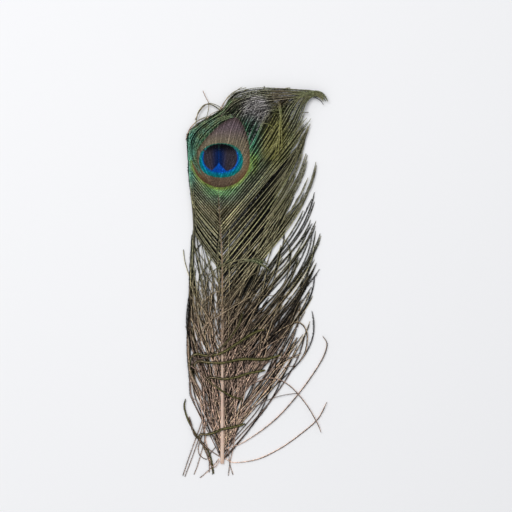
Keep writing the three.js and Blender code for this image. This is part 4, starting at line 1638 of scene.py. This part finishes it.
class FEATHER_OT_strays(bpy.types.Operator):
    """Grow the single barbs that curl over the rest or lie apart from it"""
    bl_idname = "feather.strays"
    bl_label = "Stray barbs"

    def execute(self, context):
        sizes, materials = context.scene.feather_sizes, bpy.data.materials
        stray_barbs(sizes, materials["stray_finish"], materials["vane_finish"])
        groups = (  # name, lines, kind, barbule length, lean and tones
            ("crown_hairs", CROWN_HAIRS, "stray", 0.42, 0.8, (0.3, 0.8)),
            ("upright_barbs", UPRIGHT_BARBS, "crown", 0.7, 0.8, (0.7, 1.0)),
            ("edge_strays", EDGE_STRAYS, "vane", 0.6, 0.8, (0.3, 0.8)),
            ("shaft_tangle", tangled_barbs(), "vane", 0.42, 0.8, (0.0, 0.8)),
            ("crossing_fibres", crossing_lines(), "vane", 0.42, 0.8, (0.0, 1.0)),
            ("shaft_tuft", TANGLE_TUFT, "crown", 0.9, 0.0, (0.3, 0.8)),
            ("crossing_barbs", CROSSING_BARBS, "stray", 1.3, 0.0, (0.3, 0.8)),
        )
        for name, lines, kind, *habit in groups:
            fine_strays(sizes, name, lines, materials[f"{kind}_finish"], *habit)
        return {"FINISHED"}


class FEATHER_OT_stage(bpy.types.Operator):
    """Lay a pale floor, hang a soft light and place the camera overhead"""
    bl_idname = "feather.stage"
    bl_label = "Stage"

    def execute(self, context):
        set_stage()
        return {"FINISHED"}


OPERATORS = (
    FEATHER_OT_finishes,
    FEATHER_OT_shaft,
    FEATHER_OT_side_barbs,
    FEATHER_OT_eye,
    FEATHER_OT_strays,
    FEATHER_OT_stage,
)


class FEATHER_PT_panel(bpy.types.Panel):
    """Sizes, colours and steps of the feather"""
    bl_idname = "FEATHER_PT_panel"
    bl_label = "Peacock Eye Feather"
    bl_space_type = "VIEW_3D"
    bl_region_type = "UI"
    bl_category = "Feather"

    def draw(self, context):
        column = self.layout.column()
        for group in (context.scene.feather_sizes, context.scene.feather_colours):
            for name in group.__annotations__:
                column.prop(group, name)
        for operator in OPERATORS:
            column.operator(operator.bl_idname)


CLASSES = (FeatherSizes, FeatherColours, *OPERATORS, FEATHER_PT_panel)


def register():
    """Adds the panel, the steps and the scene's sizes and colours."""
    for each in CLASSES:
        bpy.utils.register_class(each)
    bpy.types.Scene.feather_sizes = bpy.props.PointerProperty(type=FeatherSizes)
    bpy.types.Scene.feather_colours = bpy.props.PointerProperty(type=FeatherColours)


def unregister():
    """Takes them away again, last first."""
    del bpy.types.Scene.feather_colours
    del bpy.types.Scene.feather_sizes
    for each in reversed(CLASSES):
        bpy.utils.unregister_class(each)


def main():
    """Takes every step in order."""
    register()
    bpy.ops.feather.finishes()
    bpy.ops.feather.shaft()
    bpy.ops.feather.side_barbs()
    bpy.ops.feather.eye()
    bpy.ops.feather.strays()
    bpy.ops.feather.stage()


if __name__ == "__main__":
    main()
